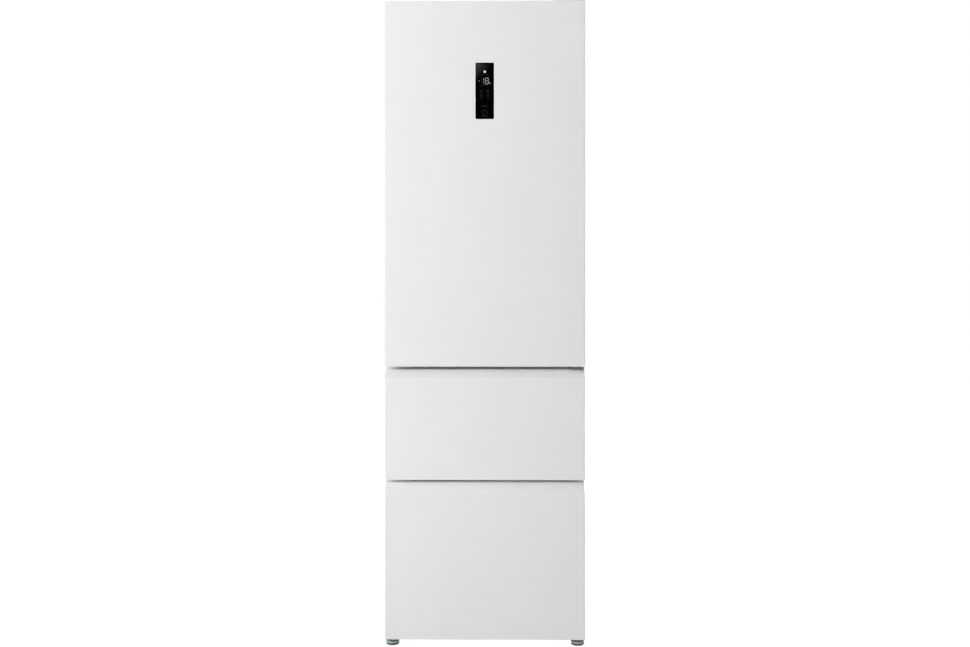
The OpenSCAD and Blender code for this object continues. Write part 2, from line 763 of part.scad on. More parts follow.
module ceiling_light() color("white") along_z(fridge_z1 - light_t, fridge_z1)
    polygon(rounded(-light_hw, shelf_y0 - light_lead, light_hw, shelf_y0 - light_lead + light_d, light_r));

// Freezer interior

intake_rows = 7;
intake_w = 360;
intake_h = 5;
intake_pitch = 12;
intake_up = 24;       // from the bottom of the duct panel to the lowest slot

panel_t = 3;          // sheet of the duct panel
panel_gap = 2;        // between the duct panel and the liner
shroud_t = 2;         // wall of the ring round the fan
motor_r = 18;
motor_l = 24;
motor_back = 20;      // how much of the motor lies behind its arms
motor_gap = 4;        // between the fan and the arms of its motor
arm_w = 6;
arm_t = 3;
guard_t = 2;          // rings that keep fingers off the fan
guard_w = 2.4;
guard_rs = [24, 36];
guard_hub_r = 12;
guard_arm_w = 3;
guard_arm_t = 1.5;

module ring(r, t, h) difference() {
    cylinder(r = r + t, h = h);
    translate([0, 0, -past]) cylinder(r = r, h = h + past * 2);
}

// The ring round the fan, three arms with the motor and its shaft, and the guard in front
module fan_shroud() {
    ring_l = fan_y + fan_l + motor_gap - freezer_duct_y;
    arm_l = 2 * (fan_r + fan_gap + 1);
    ring(fan_r + fan_gap, shroud_t, ring_l - 1);
    for (a = [0, 60, 120]) rotate([0, 0, a]) {
        translate([0, 0, 2]) cube([arm_l, arm_w, arm_t], center = true);
        translate([0, 0, ring_l - guard_arm_t]) cube([arm_l, guard_arm_w, guard_arm_t], center = true);
    }
    translate([0, 0, -motor_back]) cylinder(r = motor_r, h = motor_l);
    cylinder(r = shaft_r, h = fan_l + motor_gap);
    translate([0, 0, ring_l - guard_t - 0.5]) {
        cylinder(r = guard_hub_r, h = guard_t);
        for (r = guard_rs) ring(r - guard_w / 2, guard_w, guard_t);
    }
}

module freezer_duct() color("white") {
    duct_x = in_hw - panel_gap;
    duct_low = step_z + 1;
    duct_top = freezer_z1 - space_r - 1;
    difference() {
        box([-duct_x, freezer_duct_y, duct_low], [duct_x, freezer_duct_y + panel_t, duct_top]);
        translate([0, freezer_duct_y, fan_z]) rotate([90, 0, 0])
            cylinder(r = fan_r + fan_gap, h = past * 4, center = true);
        translate([0, freezer_duct_y, duct_low + intake_up]) for (i = [0 : intake_rows - 1])
            translate([0, 0, i * intake_pitch]) cube([intake_w, past * 4, intake_h], center = true);
    }
    both_sides() box([duct_x - panel_t, freezer_duct_y, duct_low], [duct_x, space_back, duct_top]);
    translate([0, fan_y + fan_l + motor_gap, fan_z]) rotate([90, 0, 0]) fan_shroud();
}

rotor_l = fan_l - 4;
blade_tilt = 34;
blade_w = 26;
blade_t = 2.2;
blade_root = 6;       // how far the blades' middle lies past half the radius

module evaporator_fan() color("dimgray") translate([0, fan_y + fan_l, fan_z]) rotate([90, 0, 0])
    difference() {
        union() {
            cylinder(r = fan_hub_r, h = rotor_l);
            intersection() {
                cylinder(r = fan_r, h = rotor_l);
                for (i = [0 : blade_count - 1]) rotate([0, 0, i * 360 / blade_count])
                    translate([fan_r / 2 + blade_root, 0, rotor_l / 2]) rotate([blade_tilt, 0, 0])
                        cube([fan_r, blade_w, blade_t], center = true);
            }
        }
        translate([0, 0, -past]) cylinder(r = shaft_r + pin_gap, h = fan_l + past * 2);
    }

evap_hw = 180;
evap_up = 40;         // from the step to the fins
evap_z0 = step_z + evap_up;
evap_h = 190;
evap_d = 56;
fin_t = 1;
tube_r = 4;
tube_rows = 3;
tube_gap = 26;        // between the front and the back tube of a row
tube_in = 16;         // from the back of the fins to the back tubes
tube_out = 12;        // how far the tubes stand out of the fins
tube_pitch = evap_h / tube_rows;
bend_r = 5;
bend_out = 2;

module evaporator() color("silver") {
    for (i = [0 : fin_count - 1]) translate([-evap_hw + i * 2 * evap_hw / (fin_count - 1), 0, 0])
        box([-fin_t / 2, space_back - evap_d, evap_z0], [fin_t / 2, space_back, evap_z0 + evap_h]);
    for (row = [0 : tube_rows - 1])
        translate([0, space_back - tube_in, evap_z0 + (row + 0.5) * tube_pitch]) {
            for (y = [-tube_gap, 0]) translate([-evap_hw - tube_out, y, 0]) rotate([0, 90, 0])
                cylinder(r = tube_r, h = 2 * (evap_hw + tube_out));
            for (x = [-evap_hw - tube_out, evap_hw + tube_out]) translate([x, bend_r + bend_out, 0])
                rotate([90, 0, 0]) cylinder(r = bend_r, h = tube_gap + 2 * (bend_r + bend_out));
        }
}

// One channel of a telescopic slide: level 0 is fixed to the wall, 1 follows, 2 carries the drawer.
module channel(level, y0, y1, z) {
    u0 = level * member_pitch;
    half = rail_h / 2 - level * member_pitch;
    box([in_hw - u0 - member_t, y0, z - half], [in_hw - u0, y1, z + half]);
    for (s = [-1, 1]) translate([0, 0, z + s * (half - member_t / 2)])
        box([in_hw - rail_depth, y0, -member_t / 2], [in_hw - u0, y1, member_t / 2]);
}

module fixed_rails() color("silver") both_sides() {
    channel(0, rail_y0, rail_y0 + middle_rail_l, middle_rail_z);
    channel(0, rail_y0, rail_y0 + lower_rail_l, lower_rail_z);
}

module rail_members(z, l) color("lightgray") both_sides() channel(1, rail_y0, rail_y0 + l, z);

tab_t = 3;
tab_out = 4;
tab_up = 12;

// The runner is the inner channel, the ledge under the basket and the tab screwed to the front.
module runners(z, l) color("silver") both_sides() {
    half = rail_h / 2 - 2 * member_pitch;
    channel(2, rail_y0, rail_y0 + l, z);
    box([in_hw - runner_side, plate_y, z - half], [in_hw - rail_depth + weld / 2, rail_y0 + l, z + half]);
    box([in_hw - runner_side - foot_w, basket_y0, z - half],
        [in_hw - rail_depth, rail_y0 + l, z - half + member_t]);
    box([in_hw - runner_side - tab_out, plate_y, z - half - tab_out],
        [in_hw - 2, plate_y + tab_t, z + half + tab_up]);
}

basket_rim_h = 6;
basket_rim_w = 4;
back_vents = 9;
back_vent_w = 12;
back_vent_h = 30;
back_vent_drop = 22;  // from the rim of a basket to the vents in its back wall

// A rim is lower at the front, where the hand goes in.
module rim_dip(y0, y1, z, half, slope, d) along_y(y0, y1) polygon([
    [-half - slope, z + past], [-half, z - d], [half, z - d], [half + slope, z + past]]);

module basket_dip(z1)
    rim_dip(basket_y0 - past, basket_y0 + basket_r + past, z1, dip_hw, dip_slope, dip_d);

// The rim stands out over the slides, and slots in the back wall let the cold air in.
module basket_rim(z1) difference() {
    along_z(z1 - basket_rim_h, z1)
        polygon(rounded(-basket_hw - basket_rim_w, basket_y0,
            basket_hw + basket_rim_w, basket_y1, basket_r));
    along_z(z1 - basket_rim_h - past, z1 + past)
        polygon(shrunk(-basket_hw, basket_y0, basket_hw, basket_y1, basket_r, tub_t));
}

module basket_vents(z1) {
    pitch = 2 * (basket_hw - basket_r) / back_vents;
    for (i = [0 : back_vents - 1]) {
        x0 = -basket_hw + basket_r + (i + 0.5) * pitch - back_vent_w / 2;
        along_y(basket_y1 - tub_t - past, basket_y1 + past)
            polygon(rounded(x0, z1 - back_vent_drop - back_vent_h, x0 + back_vent_w, z1 - back_vent_drop,
                back_vent_w / 2 - 0.5));
    }
}

module middle_basket() color("azure", 0.7) difference() {
    z1 = middle_basket_z0 + middle_basket_h;
    union() {
        tub(-basket_hw, basket_y0, basket_hw, basket_y1, middle_basket_z0, z1, basket_r, tub_t);
        basket_rim(z1);
    }
    basket_dip(z1);
    basket_vents(z1);
}

step_gap = 8;         // between the lower basket and the upright of the step
step_over = 6;        // between the basket and the top of the step
slope_gap = 4;

// The lower basket steps up over the machine bay.
function basket_side(inset, over) = let (
        z0 = lower_basket_z0 + inset,
        z1 = lower_basket_z0 + lower_basket_h + over,
        y1 = step_y - step_gap - inset,
        step_floor = step_z + step_over + inset) [
    [basket_y0 + inset, z0], [y1, z0], [y1, step_z - bay_chamfer - slope_gap + inset / 2],
    [y1 + bay_chamfer, step_floor], [basket_y1 - inset, step_floor],
    [basket_y1 - inset, z1], [basket_y0 + inset, z1]];

module lower_basket() color("azure", 0.7) difference() {
    z1 = lower_basket_z0 + lower_basket_h;
    union() {
        intersection() {
            along_x(-basket_hw, basket_hw) polygon(basket_side(0, 0));
            along_z(lower_basket_z0, z1)
                polygon(rounded(-basket_hw, basket_y0, basket_hw, basket_y1, basket_r));
        }
        basket_rim(z1);
    }
    intersection() {
        along_x(-basket_hw + tub_t, basket_hw - tub_t) polygon(basket_side(tub_t, past));
        along_z(lower_basket_z0, z1 + past)
            polygon(shrunk(-basket_hw, basket_y0, basket_hw, basket_y1, basket_r, tub_t));
    }
    basket_dip(z1);
    basket_vents(z1);
}

tray_gap = 3;         // between the tray and the walls of the basket
tray_in = 8;          // from the front of the basket to the tray
tray_r = 16;
tray_dip_hw = 60;
tray_dip_d = 20;
tray_slots = 8;
tray_slot_w = 5;
tray_slot_in = 34;    // from the edge of the tray to the slots in its floor

// The tray hangs on the rim of the basket, and its front edge dips for the fingers.
module sliding_tray() color("azure", 0.7) {
    half = basket_hw - tub_t - tray_gap;
    y0 = basket_y0 + tray_in;
    z1 = tray_z1 + tray_rim;
    difference() {
        tub(-half, y0, half, y0 + tray_d, tray_z1 - tray_h, z1, tray_r, tub_t);
        rim_dip(y0 - past, y0 + tray_r, z1, tray_dip_hw, tray_dip_d, tray_dip_d);
        for (i = [0 : tray_slots - 1]) translate([0, y0 + tray_slot_in, tray_z1 - tray_h])
            along_z(-past, past) polygon(rounded(-half + tray_slot_in, i * tray_slot_pitch(),
                half - tray_slot_in, i * tray_slot_pitch() + tray_slot_w, tray_slot_w / 2 - 0.2));
    }
    both_sides() box([half - tub_t, y0 + tray_r, tray_z1], [basket_hw, y0 + tray_d - tray_r, z1]);
}

function tray_slot_pitch() = (tray_d - 2 * tray_slot_in - tray_slot_w) / (tray_slots - 1);

// Feet and rollers

sole_r = 5;           // rounding at the floor
foot_edge = 2;        // rounding of a foot's upper edge
notch_r = 2.6;        // notches for the fingers
notch_out = 2;

module foot() translate([foot_x, foot_y, 0]) {
    difference() {
        rotate_extrude() polygon(concat(
            [[0, 0], [foot_r - sole_r, 0]], arc(foot_r - sole_r, sole_r, sole_r, 270, 360),
            arc(foot_r - foot_edge, foot_top - foot_edge, foot_edge, 0, 90), [[0, foot_top]]));
        for (a = [15 : 30 : 345]) rotate([0, 0, a]) translate([foot_r + notch_out, 0, sole_r])
            cylinder(r = notch_r, h = foot_top, $fn = head_fn);
    }
    cylinder(r = stud_r, h = case_z0 - rest_gap);
}

module left_foot() color("#3a4148") mirror([1, 0, 0]) foot();

module right_foot() color("#3a4148") foot();

tread_in = 2;
tread_t = 1.5;

module roller() translate([roller_x, roller_y, roller_z]) rotate([0, 90, 0]) difference() {
    union() {
        cylinder(r = roller_r, h = roller_w - 2 * tread_in, center = true);
        cylinder(r = roller_r - tread_t, h = roller_w, center = true);
    }
    cylinder(r = axle_r + pin_gap, h = roller_w + past, center = true);
}

module left_roller() color("black") mirror([1, 0, 0]) roller();

module right_roller() color("black") roller();

// Fronts

module front_plan(grow) polygon(concat(
    [[hw + grow, front_back + grow], [-hw - grow, front_back + grow]],
    arc(-hw + edge_r, front_y + edge_r, edge_r + grow, 180, 270),
    arc(hw - edge_r, front_y + edge_r, edge_r + grow, 270, 360)));

return_w = 14;

// The skin is a sheet bent round the front and both sides, with a return along each back edge.
module front_skin(z0, z1) difference() {
    along_z(z0, z1) front_plan(0);
    along_z(z0 - past, z1 + past) intersection() {
        front_plan(-skin_t);
        translate([-hw, front_y]) square([2 * hw, front_t - skin_t]);
    }
    box([-hw + return_w, front_back - skin_t - past, z0 - past],
        [hw - return_w, front_back + past, z1 + past]);
}

module front_fill(z0, z1) along_z(z0, z1) intersection() {
    front_plan(-skin_t - fit);
    translate([-hw, front_y]) square([2 * hw, cap_back - front_y]);
}

function grip_slope() = atan2(grip_h, grip_d);

function grip_seam(z1) = z1 - grip_h - grip_r * tan((90 - grip_slope()) / 2);

grip_top_r = 4;

function grip_side(z1) = let (a = 90 + grip_slope(), back = grip_top_r * tan(grip_slope() / 2)) concat(
    [[cap_back, grip_seam(z1)]],
    arc(front_y + grip_r, grip_seam(z1), grip_r, 180, a),
    arc(front_y + grip_d + back, z1 - grip_top_r, grip_top_r, a, 90),
    [[cap_back, z1]]);

grip_end = 0.5;       // the cap is this much shorter than the front is wide, at each end
channel_end = 22;     // from the side of a front to its finger channel
grip_lip = 7;         // top of the cap between the slope and the channel
grip_wall = 5;        // wall behind the channel

// The grip cap closes the top of a drawer front; fingers hook into the channel behind its slope.
module grip_cap(z1) difference() {
    union() {
        along_x(-hw + grip_end, hw - grip_end) polygon(grip_side(z1));
        front_fill(grip_seam(z1) - cap_h, grip_seam(z1) + weld);
    }
    box([-hw + channel_end, front_y + grip_d + grip_lip, z1 - channel_d],
        [hw - channel_end, cap_back - grip_wall, z1 + past]);
}

module drawer_caps(z0, z1) color("white") {
    grip_cap(z1);
    front_fill(z0, z0 + cap_h);
}

module ridge_outline(half, z0, z1, inset, r) polygon(shrunk(-half, z0, half, z1, r, inset));

// A ring that stands on the liner of a front and fills the mouth of its compartment
module ridge(half, z0, z1, w, r, tip, inset) along_y(plate_y - liner_t, tip - inset) difference() {
    ridge_outline(half, z0, z1, inset, r);
    ridge_outline(half, z0, z1, w - inset, r + w / 2);
}

module front_liner(z0, z1, half, rz0, rz1, w, tip) difference() {
    union() {
        box([-hw + skin_t + fit, plate_y - liner_t, z0], [hw - skin_t - fit, plate_y, z1]);
        ridge(half, rz0, rz1, w, ridge_r, tip, 0);
    }
    translate([0, -weld, 0]) ridge(half, rz0, rz1, w, ridge_r, tip + weld, liner_t);
}

module drawer_skin(z0, z1) color("whitesmoke") front_skin(z0, grip_seam(z1));

module drawer_liner(z0, z1, rz) color("white")
    front_liner(z0, z1, drawer_ridge_hw, rz[0], rz[1], front_ridge_w, front_ridge_y);

module drawer_core(z0, z1, rz) color("khaki") {
    front_fill(z0 + cap_h + fit, grip_seam(z1) - cap_h - fit);
    translate([0, -fit, 0])
        ridge(drawer_ridge_hw, rz[0], rz[1], front_ridge_w, ridge_r, front_ridge_y, liner_t + fit);
}

seal_foot = 3;        // part that is pressed into the liner
seal_head = 5;        // part that holds the magnet
seal_waist = 4;       // how far the bellows lie inside the foot
seal_r = 10;
seal_in_r = 6;

function seal_outline(z0, z1, side, edge, r) = rounded(-hw + side, z0 + edge, hw - side, z1 - edge, r);

// A seal has a foot on the liner, narrower bellows and a head that meets the case.
module seal(z0, z1) color("gray") {
    tip = case_y - rest_gap;
    foot_y1 = plate_y + seal_foot;
    head_y0 = tip - seal_head;
    for (s = [[plate_y, foot_y1, 0], [foot_y1, head_y0, seal_waist], [head_y0, tip, 1]])
        along_y(s[0], s[1]) difference() {
            polygon(seal_outline(z0, z1, seal_side + s[2], seal_edge + s[2], seal_r));
            polygon(seal_outline(z0, z1, seal_side + seal_w - s[2], land - s[2], seal_in_r));
        }
}

// Door

door_ridge_z0 = fridge_z0 + ridge_gap;
door_ridge_z1 = fridge_z1 - ridge_gap;
door_ridge_hw = in_hw - ridge_gap;
glass_depth = 2.5;
glass_inset = 0.3;    // the panel lies a little behind the face
housing_d = 16;
display_z1 = door_z1 - display_drop;
display_z0 = display_z1 - display_h;

display_r = 3.5;
board_side = 5;       // from the side of the panel to the circuit board behind it
board_end = 8;
board_back = 4;

module display_hole(grow, y0, y1) along_y(y0, y1)
    polygon(shrunk(-display_w / 2, display_z0, display_w / 2, display_z1, display_r, -grow));

module door_skin() color("whitesmoke") difference() {
    front_skin(door_z0, door_z1);
    display_hole(fit, front_y - past, front_y + skin_t + past);
}

// The lower cap has a finger recess along its free length.
door_grip_in = 24;
door_grip_y = 12;
door_grip_d = 24;

module door_end_caps() color("white") {
    difference() {
        front_fill(door_z1 - cap_h, door_z1);
        translate([hinge_x, hinge_y, door_z1 - pin_bore]) cylinder(r = bore_r, h = pin_bore + past);
    }
    difference() {
        front_fill(door_z0, door_z0 + cap_h + 4);
        translate([hinge_x, hinge_y, door_z0 - past]) cylinder(r = bore_r, h = pin_bore + past);
        box([-hw + door_grip_in, front_y + door_grip_y, door_z0 - past],
            [mid_hinge_x0 - door_grip_in, front_y + door_grip_y + door_grip_d, door_z0 + channel_d]);
    }
}

module door_liner() color("white") {
    front_liner(door_z0, door_z1, door_ridge_hw, door_ridge_z0, door_ridge_z1, ridge_w, ridge_y);
    for (z = concat([bottle_z], balcony_zs)) both_sides()
        box([door_ridge_hw - ridge_w - lug_w, plate_y + lug_in, z + lug_up],
            [door_ridge_hw - ridge_w + weld, plate_y + lug_in + lug_d, z + lug_up + lug_h]);
}

module door_insulation() color("khaki") {
    difference() {
        front_fill(door_z0 + cap_h + 4 + fit, door_z1 - cap_h - fit);
        display_hole(3, front_y - past, front_y + skin_t + housing_d + 2);
    }
    translate([0, -fit, 0])
        ridge(door_ridge_hw, door_ridge_z0, door_ridge_z1, ridge_w, ridge_r, ridge_y, liner_t + fit);
}

module display_glass() color("black")
    display_hole(0, front_y + glass_inset, front_y + glass_inset + glass_depth);

module display_housing() color("dimgray") {
    y0 = front_y + glass_inset + glass_depth + fit;
    difference() {
        display_hole(2, y0, front_y + skin_t + housing_d);
        display_hole(-1, y0 - past, front_y + skin_t + housing_d - 3);
    }
    box([-display_w / 2 + board_side, y0 + board_back, display_z0 + board_end],
        [display_w / 2 - board_side, front_y + skin_t + housing_d - 1, display_z1 - board_end]);
}

hook_short = 6;       // how much shorter a hook is than its lug
rim_r = 3;
rim_h = 15;           // height of the thick front rim of a balcony

module balcony(z0, h) color("lightcyan", 0.6) {
    y_hook = plate_y + lug_in + 2;
    z_hook = z0 + lug_up + lug_h;
    tub(-balcony_hw, balcony_y0, balcony_hw, balcony_y1, z0, z0 + h, balcony_r, tub_t);
    both_sides() box([balcony_hw - tub_t, y_hook, z_hook + rest_gap],
        [balcony_hw + lug_w, y_hook + lug_d - hook_short, z_hook + hook_t]);
    along_x(-balcony_hw + balcony_r, balcony_hw - balcony_r) polygon(concat(
        arc(balcony_y1 - 1, z0 + h - rim_r, rim_r, 0, 180),
        arc(balcony_y1 - 1, z0 + h - rim_h + rim_r, rim_r, 180, 360)));
}

// All parts

outer_case();
insulation();
fridge_liner();
freezer_liner();
cross_rails();
rear_panel();
machine_cover();
base_frame();
compressor();
drip_tray();
mains_gland();
top_hinge();
top_hinge_cover();
middle_hinge();
hinge_screws();
wall_spacers();
shelf_glass(shelf_1_z);  // shelf_1
shelf_glass(shelf_2_z);  // shelf_2
shelf_glass(shelf_3_z);  // shelf_3
shelf_glass(crisper_shelf_z);  // crisper_shelf
shelf_trims();
chill_drawer();
crisper_drawer();
air_duct();
ceiling_light();
freezer_duct();
evaporator();
fixed_rails();
left_foot();
right_foot();
left_roller();
right_roller();
evaporator_fan();
door_skin();
door_end_caps();
door_liner();
door_insulation();
seal(door_z0, door_z1);  // door_seal
balcony(balcony_zs[1], balcony_h);  // upper_balcony
balcony(balcony_zs[0], balcony_h);  // middle_balcony
balcony(bottle_z, bottle_h);  // bottle_balcony
display_glass();
display_housing();
drawer_skin(middle_z0, middle_z1);  // middle_front_skin
drawer_caps(middle_z0, middle_z1);  // middle_front_caps
drawer_liner(middle_z0, middle_z1, middle_ridge);  // middle_front_liner
drawer_core(middle_z0, middle_z1, middle_ridge);  // middle_front_core
seal(middle_z0, middle_z1);  // middle_seal
middle_basket();
runners(middle_rail_z, middle_rail_l);  // middle_runners
rail_members(middle_rail_z, middle_rail_l);  // middle_rail_members
drawer_skin(lower_z0, lower_z1);  // lower_front_skin
drawer_caps(lower_z0, lower_z1);  // lower_front_caps
drawer_liner(lower_z0, lower_z1, lower_ridge);  // lower_front_liner
drawer_core(lower_z0, lower_z1, lower_ridge);  // lower_front_core
seal(lower_z0, lower_z1);  // lower_seal
lower_basket();
runners(lower_rail_z, lower_rail_l);  // lower_runners
rail_members(lower_rail_z, lower_rail_l);  // lower_rail_members
sliding_tray();
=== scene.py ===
# %% [markdown]
# # A white fridge freezer
# The solid parts of this appliance are already built, to size, by its construction file. This lesson
# dresses them: it sets up a camera and a soft studio, gives each part the finish of the real one, and
# adds the small things that only the eye needs, such as the lit signs on the glass panel.

# %% Load the parts
import math

import bmesh
import bpy
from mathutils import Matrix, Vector


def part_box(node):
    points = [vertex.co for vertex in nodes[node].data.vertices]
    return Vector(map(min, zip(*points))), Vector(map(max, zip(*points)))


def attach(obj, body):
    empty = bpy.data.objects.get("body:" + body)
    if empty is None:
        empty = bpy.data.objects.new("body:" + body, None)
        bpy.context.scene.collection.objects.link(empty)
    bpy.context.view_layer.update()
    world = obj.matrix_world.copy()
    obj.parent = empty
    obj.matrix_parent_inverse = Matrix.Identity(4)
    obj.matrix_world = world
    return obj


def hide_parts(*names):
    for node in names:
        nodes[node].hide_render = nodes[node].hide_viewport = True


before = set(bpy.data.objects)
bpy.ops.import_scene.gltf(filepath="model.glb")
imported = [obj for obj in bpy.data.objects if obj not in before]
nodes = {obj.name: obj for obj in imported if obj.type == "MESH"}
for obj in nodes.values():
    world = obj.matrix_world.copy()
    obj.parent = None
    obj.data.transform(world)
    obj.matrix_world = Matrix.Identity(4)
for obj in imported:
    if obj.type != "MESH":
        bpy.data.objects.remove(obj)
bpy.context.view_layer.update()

# %% [markdown]
# ## Camera
# The photograph looks at the front almost squarely, from about the middle of the height. The distance,
# the small turn and the focal length come from lining up the edges of the fronts with a pinhole
# camera. A lens shift of a few pixels centres the picture without tilting the view.

# %% Place the camera
PICTURE_WIDTH = 970
SENSOR_WIDTH = 36.0
FOCAL_PIXELS = 1206.0
CAMERA_PLACE = Vector((0.076, -3.936, 1.0))
CAMERA_YAW = math.radians(-0.73)
CAMERA_PITCH = math.radians(0.24)
CAMERA_SHIFT = (-9.8 / PICTURE_WIDTH, -4.7 / PICTURE_WIDTH)

forward = Vector((math.sin(CAMERA_YAW) * math.cos(CAMERA_PITCH),
                  math.cos(CAMERA_YAW) * math.cos(CAMERA_PITCH),
                  -math.sin(CAMERA_PITCH)))
camera_data = bpy.data.cameras.new("camera")
camera_data.sensor_width = SENSOR_WIDTH
camera_data.lens = FOCAL_PIXELS / PICTURE_WIDTH * SENSOR_WIDTH
camera_data.shift_x, camera_data.shift_y = CAMERA_SHIFT
camera = bpy.data.objects.new("camera", camera_data)
bpy.context.scene.collection.objects.link(camera)
camera.location = CAMERA_PLACE
camera.rotation_euler = forward.to_track_quat("-Z", "Y").to_euler()
bpy.context.scene.camera = camera
print("lens:", round(camera_data.lens, 2), "mm")

# %% [markdown]
# ## Materials, the common part
# Every finish starts from the same few nodes: Object coordinates, a noise or two, and a Principled
# shader. Object coordinates are in metres here, because each part sits at the origin at its real size,
# so a noise scale of 900 gives grains of about a millimetre on every part alike. A noise seldom leaves
# the range from 0.3 to 0.7, so the helpers stretch that range over the span that a recipe asks for.

# %% Helpers for the recipes
NOISE_LOW = 0.3
NOISE_HIGH = 0.7


def start_material(name):
    """A fresh material with one Principled shader, and its Object coordinates."""
    material = bpy.data.materials.new(name)
    material.use_nodes = True
    tree = material.node_tree
    shader = tree.nodes["Principled BSDF"]
    place = tree.nodes.new("ShaderNodeTexCoord").outputs["Object"]
    return material, tree, shader, place


def noise(tree, place, scale, detail=3.0, stretch=None):
    """Noise over the object, stretched along an axis where a brushed grain needs it."""
    if stretch:
        mapping = tree.nodes.new("ShaderNodeMapping")
        mapping.inputs["Scale"].default_value = stretch
        tree.links.new(place, mapping.inputs["Vector"])
        place = mapping.outputs["Vector"]
    texture = tree.nodes.new("ShaderNodeTexNoise")
    texture.inputs["Scale"].default_value = scale
    texture.inputs["Detail"].default_value = detail
    tree.links.new(place, texture.inputs["Vector"])
    return texture.outputs["Fac"]


def spread(tree, value, low, high, socket):
    """Sends a 0 to 1 value to a socket as a number from low to high."""
    node = tree.nodes.new("ShaderNodeMapRange")
    node.inputs["From Min"].default_value = NOISE_LOW
    node.inputs["From Max"].default_value = NOISE_HIGH
    node.inputs["To Min"].default_value = low
    node.inputs["To Max"].default_value = high
    tree.links.new(value, node.inputs["Value"])
    tree.links.new(node.outputs["Result"], socket)


def shade(tree, value, dark, light, socket):
    """Sends a 0 to 1 value to a colour socket, between two near colours."""
    node = tree.nodes.new("ShaderNodeValToRGB")
    first, last = node.color_ramp.elements
    first.position, last.position = NOISE_LOW, NOISE_HIGH
    first.color, last.color = (*dark, 1.0), (*light, 1.0)
    tree.links.new(value, node.inputs["Fac"])
    tree.links.new(node.outputs["Color"], socket)


def relief(tree, shader, height, strength, depth):
    """Raises the surface by a height, with depth in metres."""
    node = tree.nodes.new("ShaderNodeBump")
    node.inputs["Strength"].default_value = strength
    node.inputs["Distance"].default_value = depth
    tree.links.new(height, node.inputs["Height"])
    tree.links.new(node.outputs["Normal"], shader.inputs["Normal"])


def tint(colour, amount):
    """The same colour, darker or lighter."""
    return tuple(min(1.0, c * amount) for c in colour)


print("recipe helpers ready")

# %% [markdown]
# ## White enamel
# The door, the drawer fronts and the case are steel sheet with a baked white enamel. Such paint isn't a
# mirror: it has a faint orange peel, waves a few millimetres long and only microns deep, and its gloss
# varies a little from place to place. Two noises give these, and the colour moves by one percent only.

# %% Enamel
CLOUD_SCALE = 3.0
GLOSS_SCALE = 14.0
PEEL_SCALE = 260.0
PEEL_DEPTH = 0.0002


def enamel(name, colour, roughness):
    material, tree, shader, place = start_material(name)
    shade(tree, noise(tree, place, CLOUD_SCALE, 2.0), tint(colour, 0.992), tint(colour, 1.006),
          shader.inputs["Base Color"])
    spread(tree, noise(tree, place, GLOSS_SCALE), roughness - 0.03, roughness + 0.04,
           shader.inputs["Roughness"])
    relief(tree, shader, noise(tree, place, PEEL_SCALE, 1.5), 0.10, PEEL_DEPTH)
    shader.inputs["Specular IOR Level"].default_value = 0.45
    shader.inputs["Coat Weight"].default_value = 0.25
    shader.inputs["Coat Roughness"].default_value = 0.12
    return material


white_enamel = enamel("white_enamel", (0.9, 0.905, 0.9), 0.34)
black_enamel = enamel("black_enamel", (0.018, 0.018, 0.02), 0.38)
print("enamel ready")

# %% [markdown]
# ## Moulded and formed plastics
# The caps, ducts and trims are injection moulded with a fine spark-eroded grain. The liners are
# vacuum-formed from a sheet, so they are smoother, with a soft waviness from the forming. One recipe
# covers both, because only the size and the depth of the grain differ.

# %% Plastics
TINT_SCALE = 7.0


def plastic(name, colour, roughness, grain, depth, coat=0.0):
    material, tree, shader, place = start_material(name)
    shade(tree, noise(tree, place, TINT_SCALE, 2.0), tint(colour, 0.988), tint(colour, 1.008),
          shader.inputs["Base Color"])
    spread(tree, noise(tree, place, GLOSS_SCALE), roughness - 0.03, roughness + 0.04,
           shader.inputs["Roughness"])
    relief(tree, shader, noise(tree, place, grain, 2.0), 0.12, depth)
    shader.inputs["Coat Weight"].default_value = coat
    return material


moulded_white = plastic("moulded_white", (0.85, 0.855, 0.85), 0.42, 1400.0, 0.00005)
# Lighter than the moulded white, as painted light: it brightens the grip caps as more light on them
# would.
grip_white_painted_light = plastic("grip_white_painted_light", (0.94, 0.945, 0.94), 0.4, 1400.0, 0.00005)
formed_liner = plastic("formed_liner", (0.83, 0.845, 0.85), 0.3, 240.0, 0.00015, 0.15)
grained_black = plastic("grained_black", (0.028, 0.028, 0.03), 0.55, 1100.0, 0.00012)
seal_rubber = plastic("seal_rubber", (0.62, 0.635, 0.64), 0.62, 700.0, 0.0001)
roller_rubber = plastic("roller_rubber", (0.035, 0.035, 0.037), 0.7, 800.0, 0.00015)
foam = plastic("foam", (0.86, 0.76, 0.45), 0.9, 500.0, 0.0004)
print("plastics ready")

# %% [markdown]
# ## Feet
# A levelling foot is a shallow bowl of slate-blue plastic, polished by the mould, on a soft black sole.
# Its upper part is dark slate, and the sole covers the lowest few millimetres. Round its widest part a
# pale blue-green band is a painted highlight, the reflection of the bright floor put into the colour.
# Height alone says where the colour changes, so a ramp over Z paints all three bands.

# %% Foot finish
FOOT_TOP = 0.016
FOOT_GLOSS_SCALE = 200.0
FOOT_GRAIN = 900.0
FOOT_GRAIN_DEPTH = 0.00005
# Height in metres, and the colour there; the two pale stops are the painted highlight
FOOT_COLOURS_AND_PAINTED_HIGHLIGHT = [(0.0, (0.018, 0.02, 0.024)), (0.0058, (0.026, 0.03, 0.036)), (0.0076, (0.36, 0.46, 0.46)),
              (0.0114, (0.38, 0.48, 0.48)), (0.0128, (0.15, 0.18, 0.2)), (FOOT_TOP, (0.12, 0.14, 0.16))]


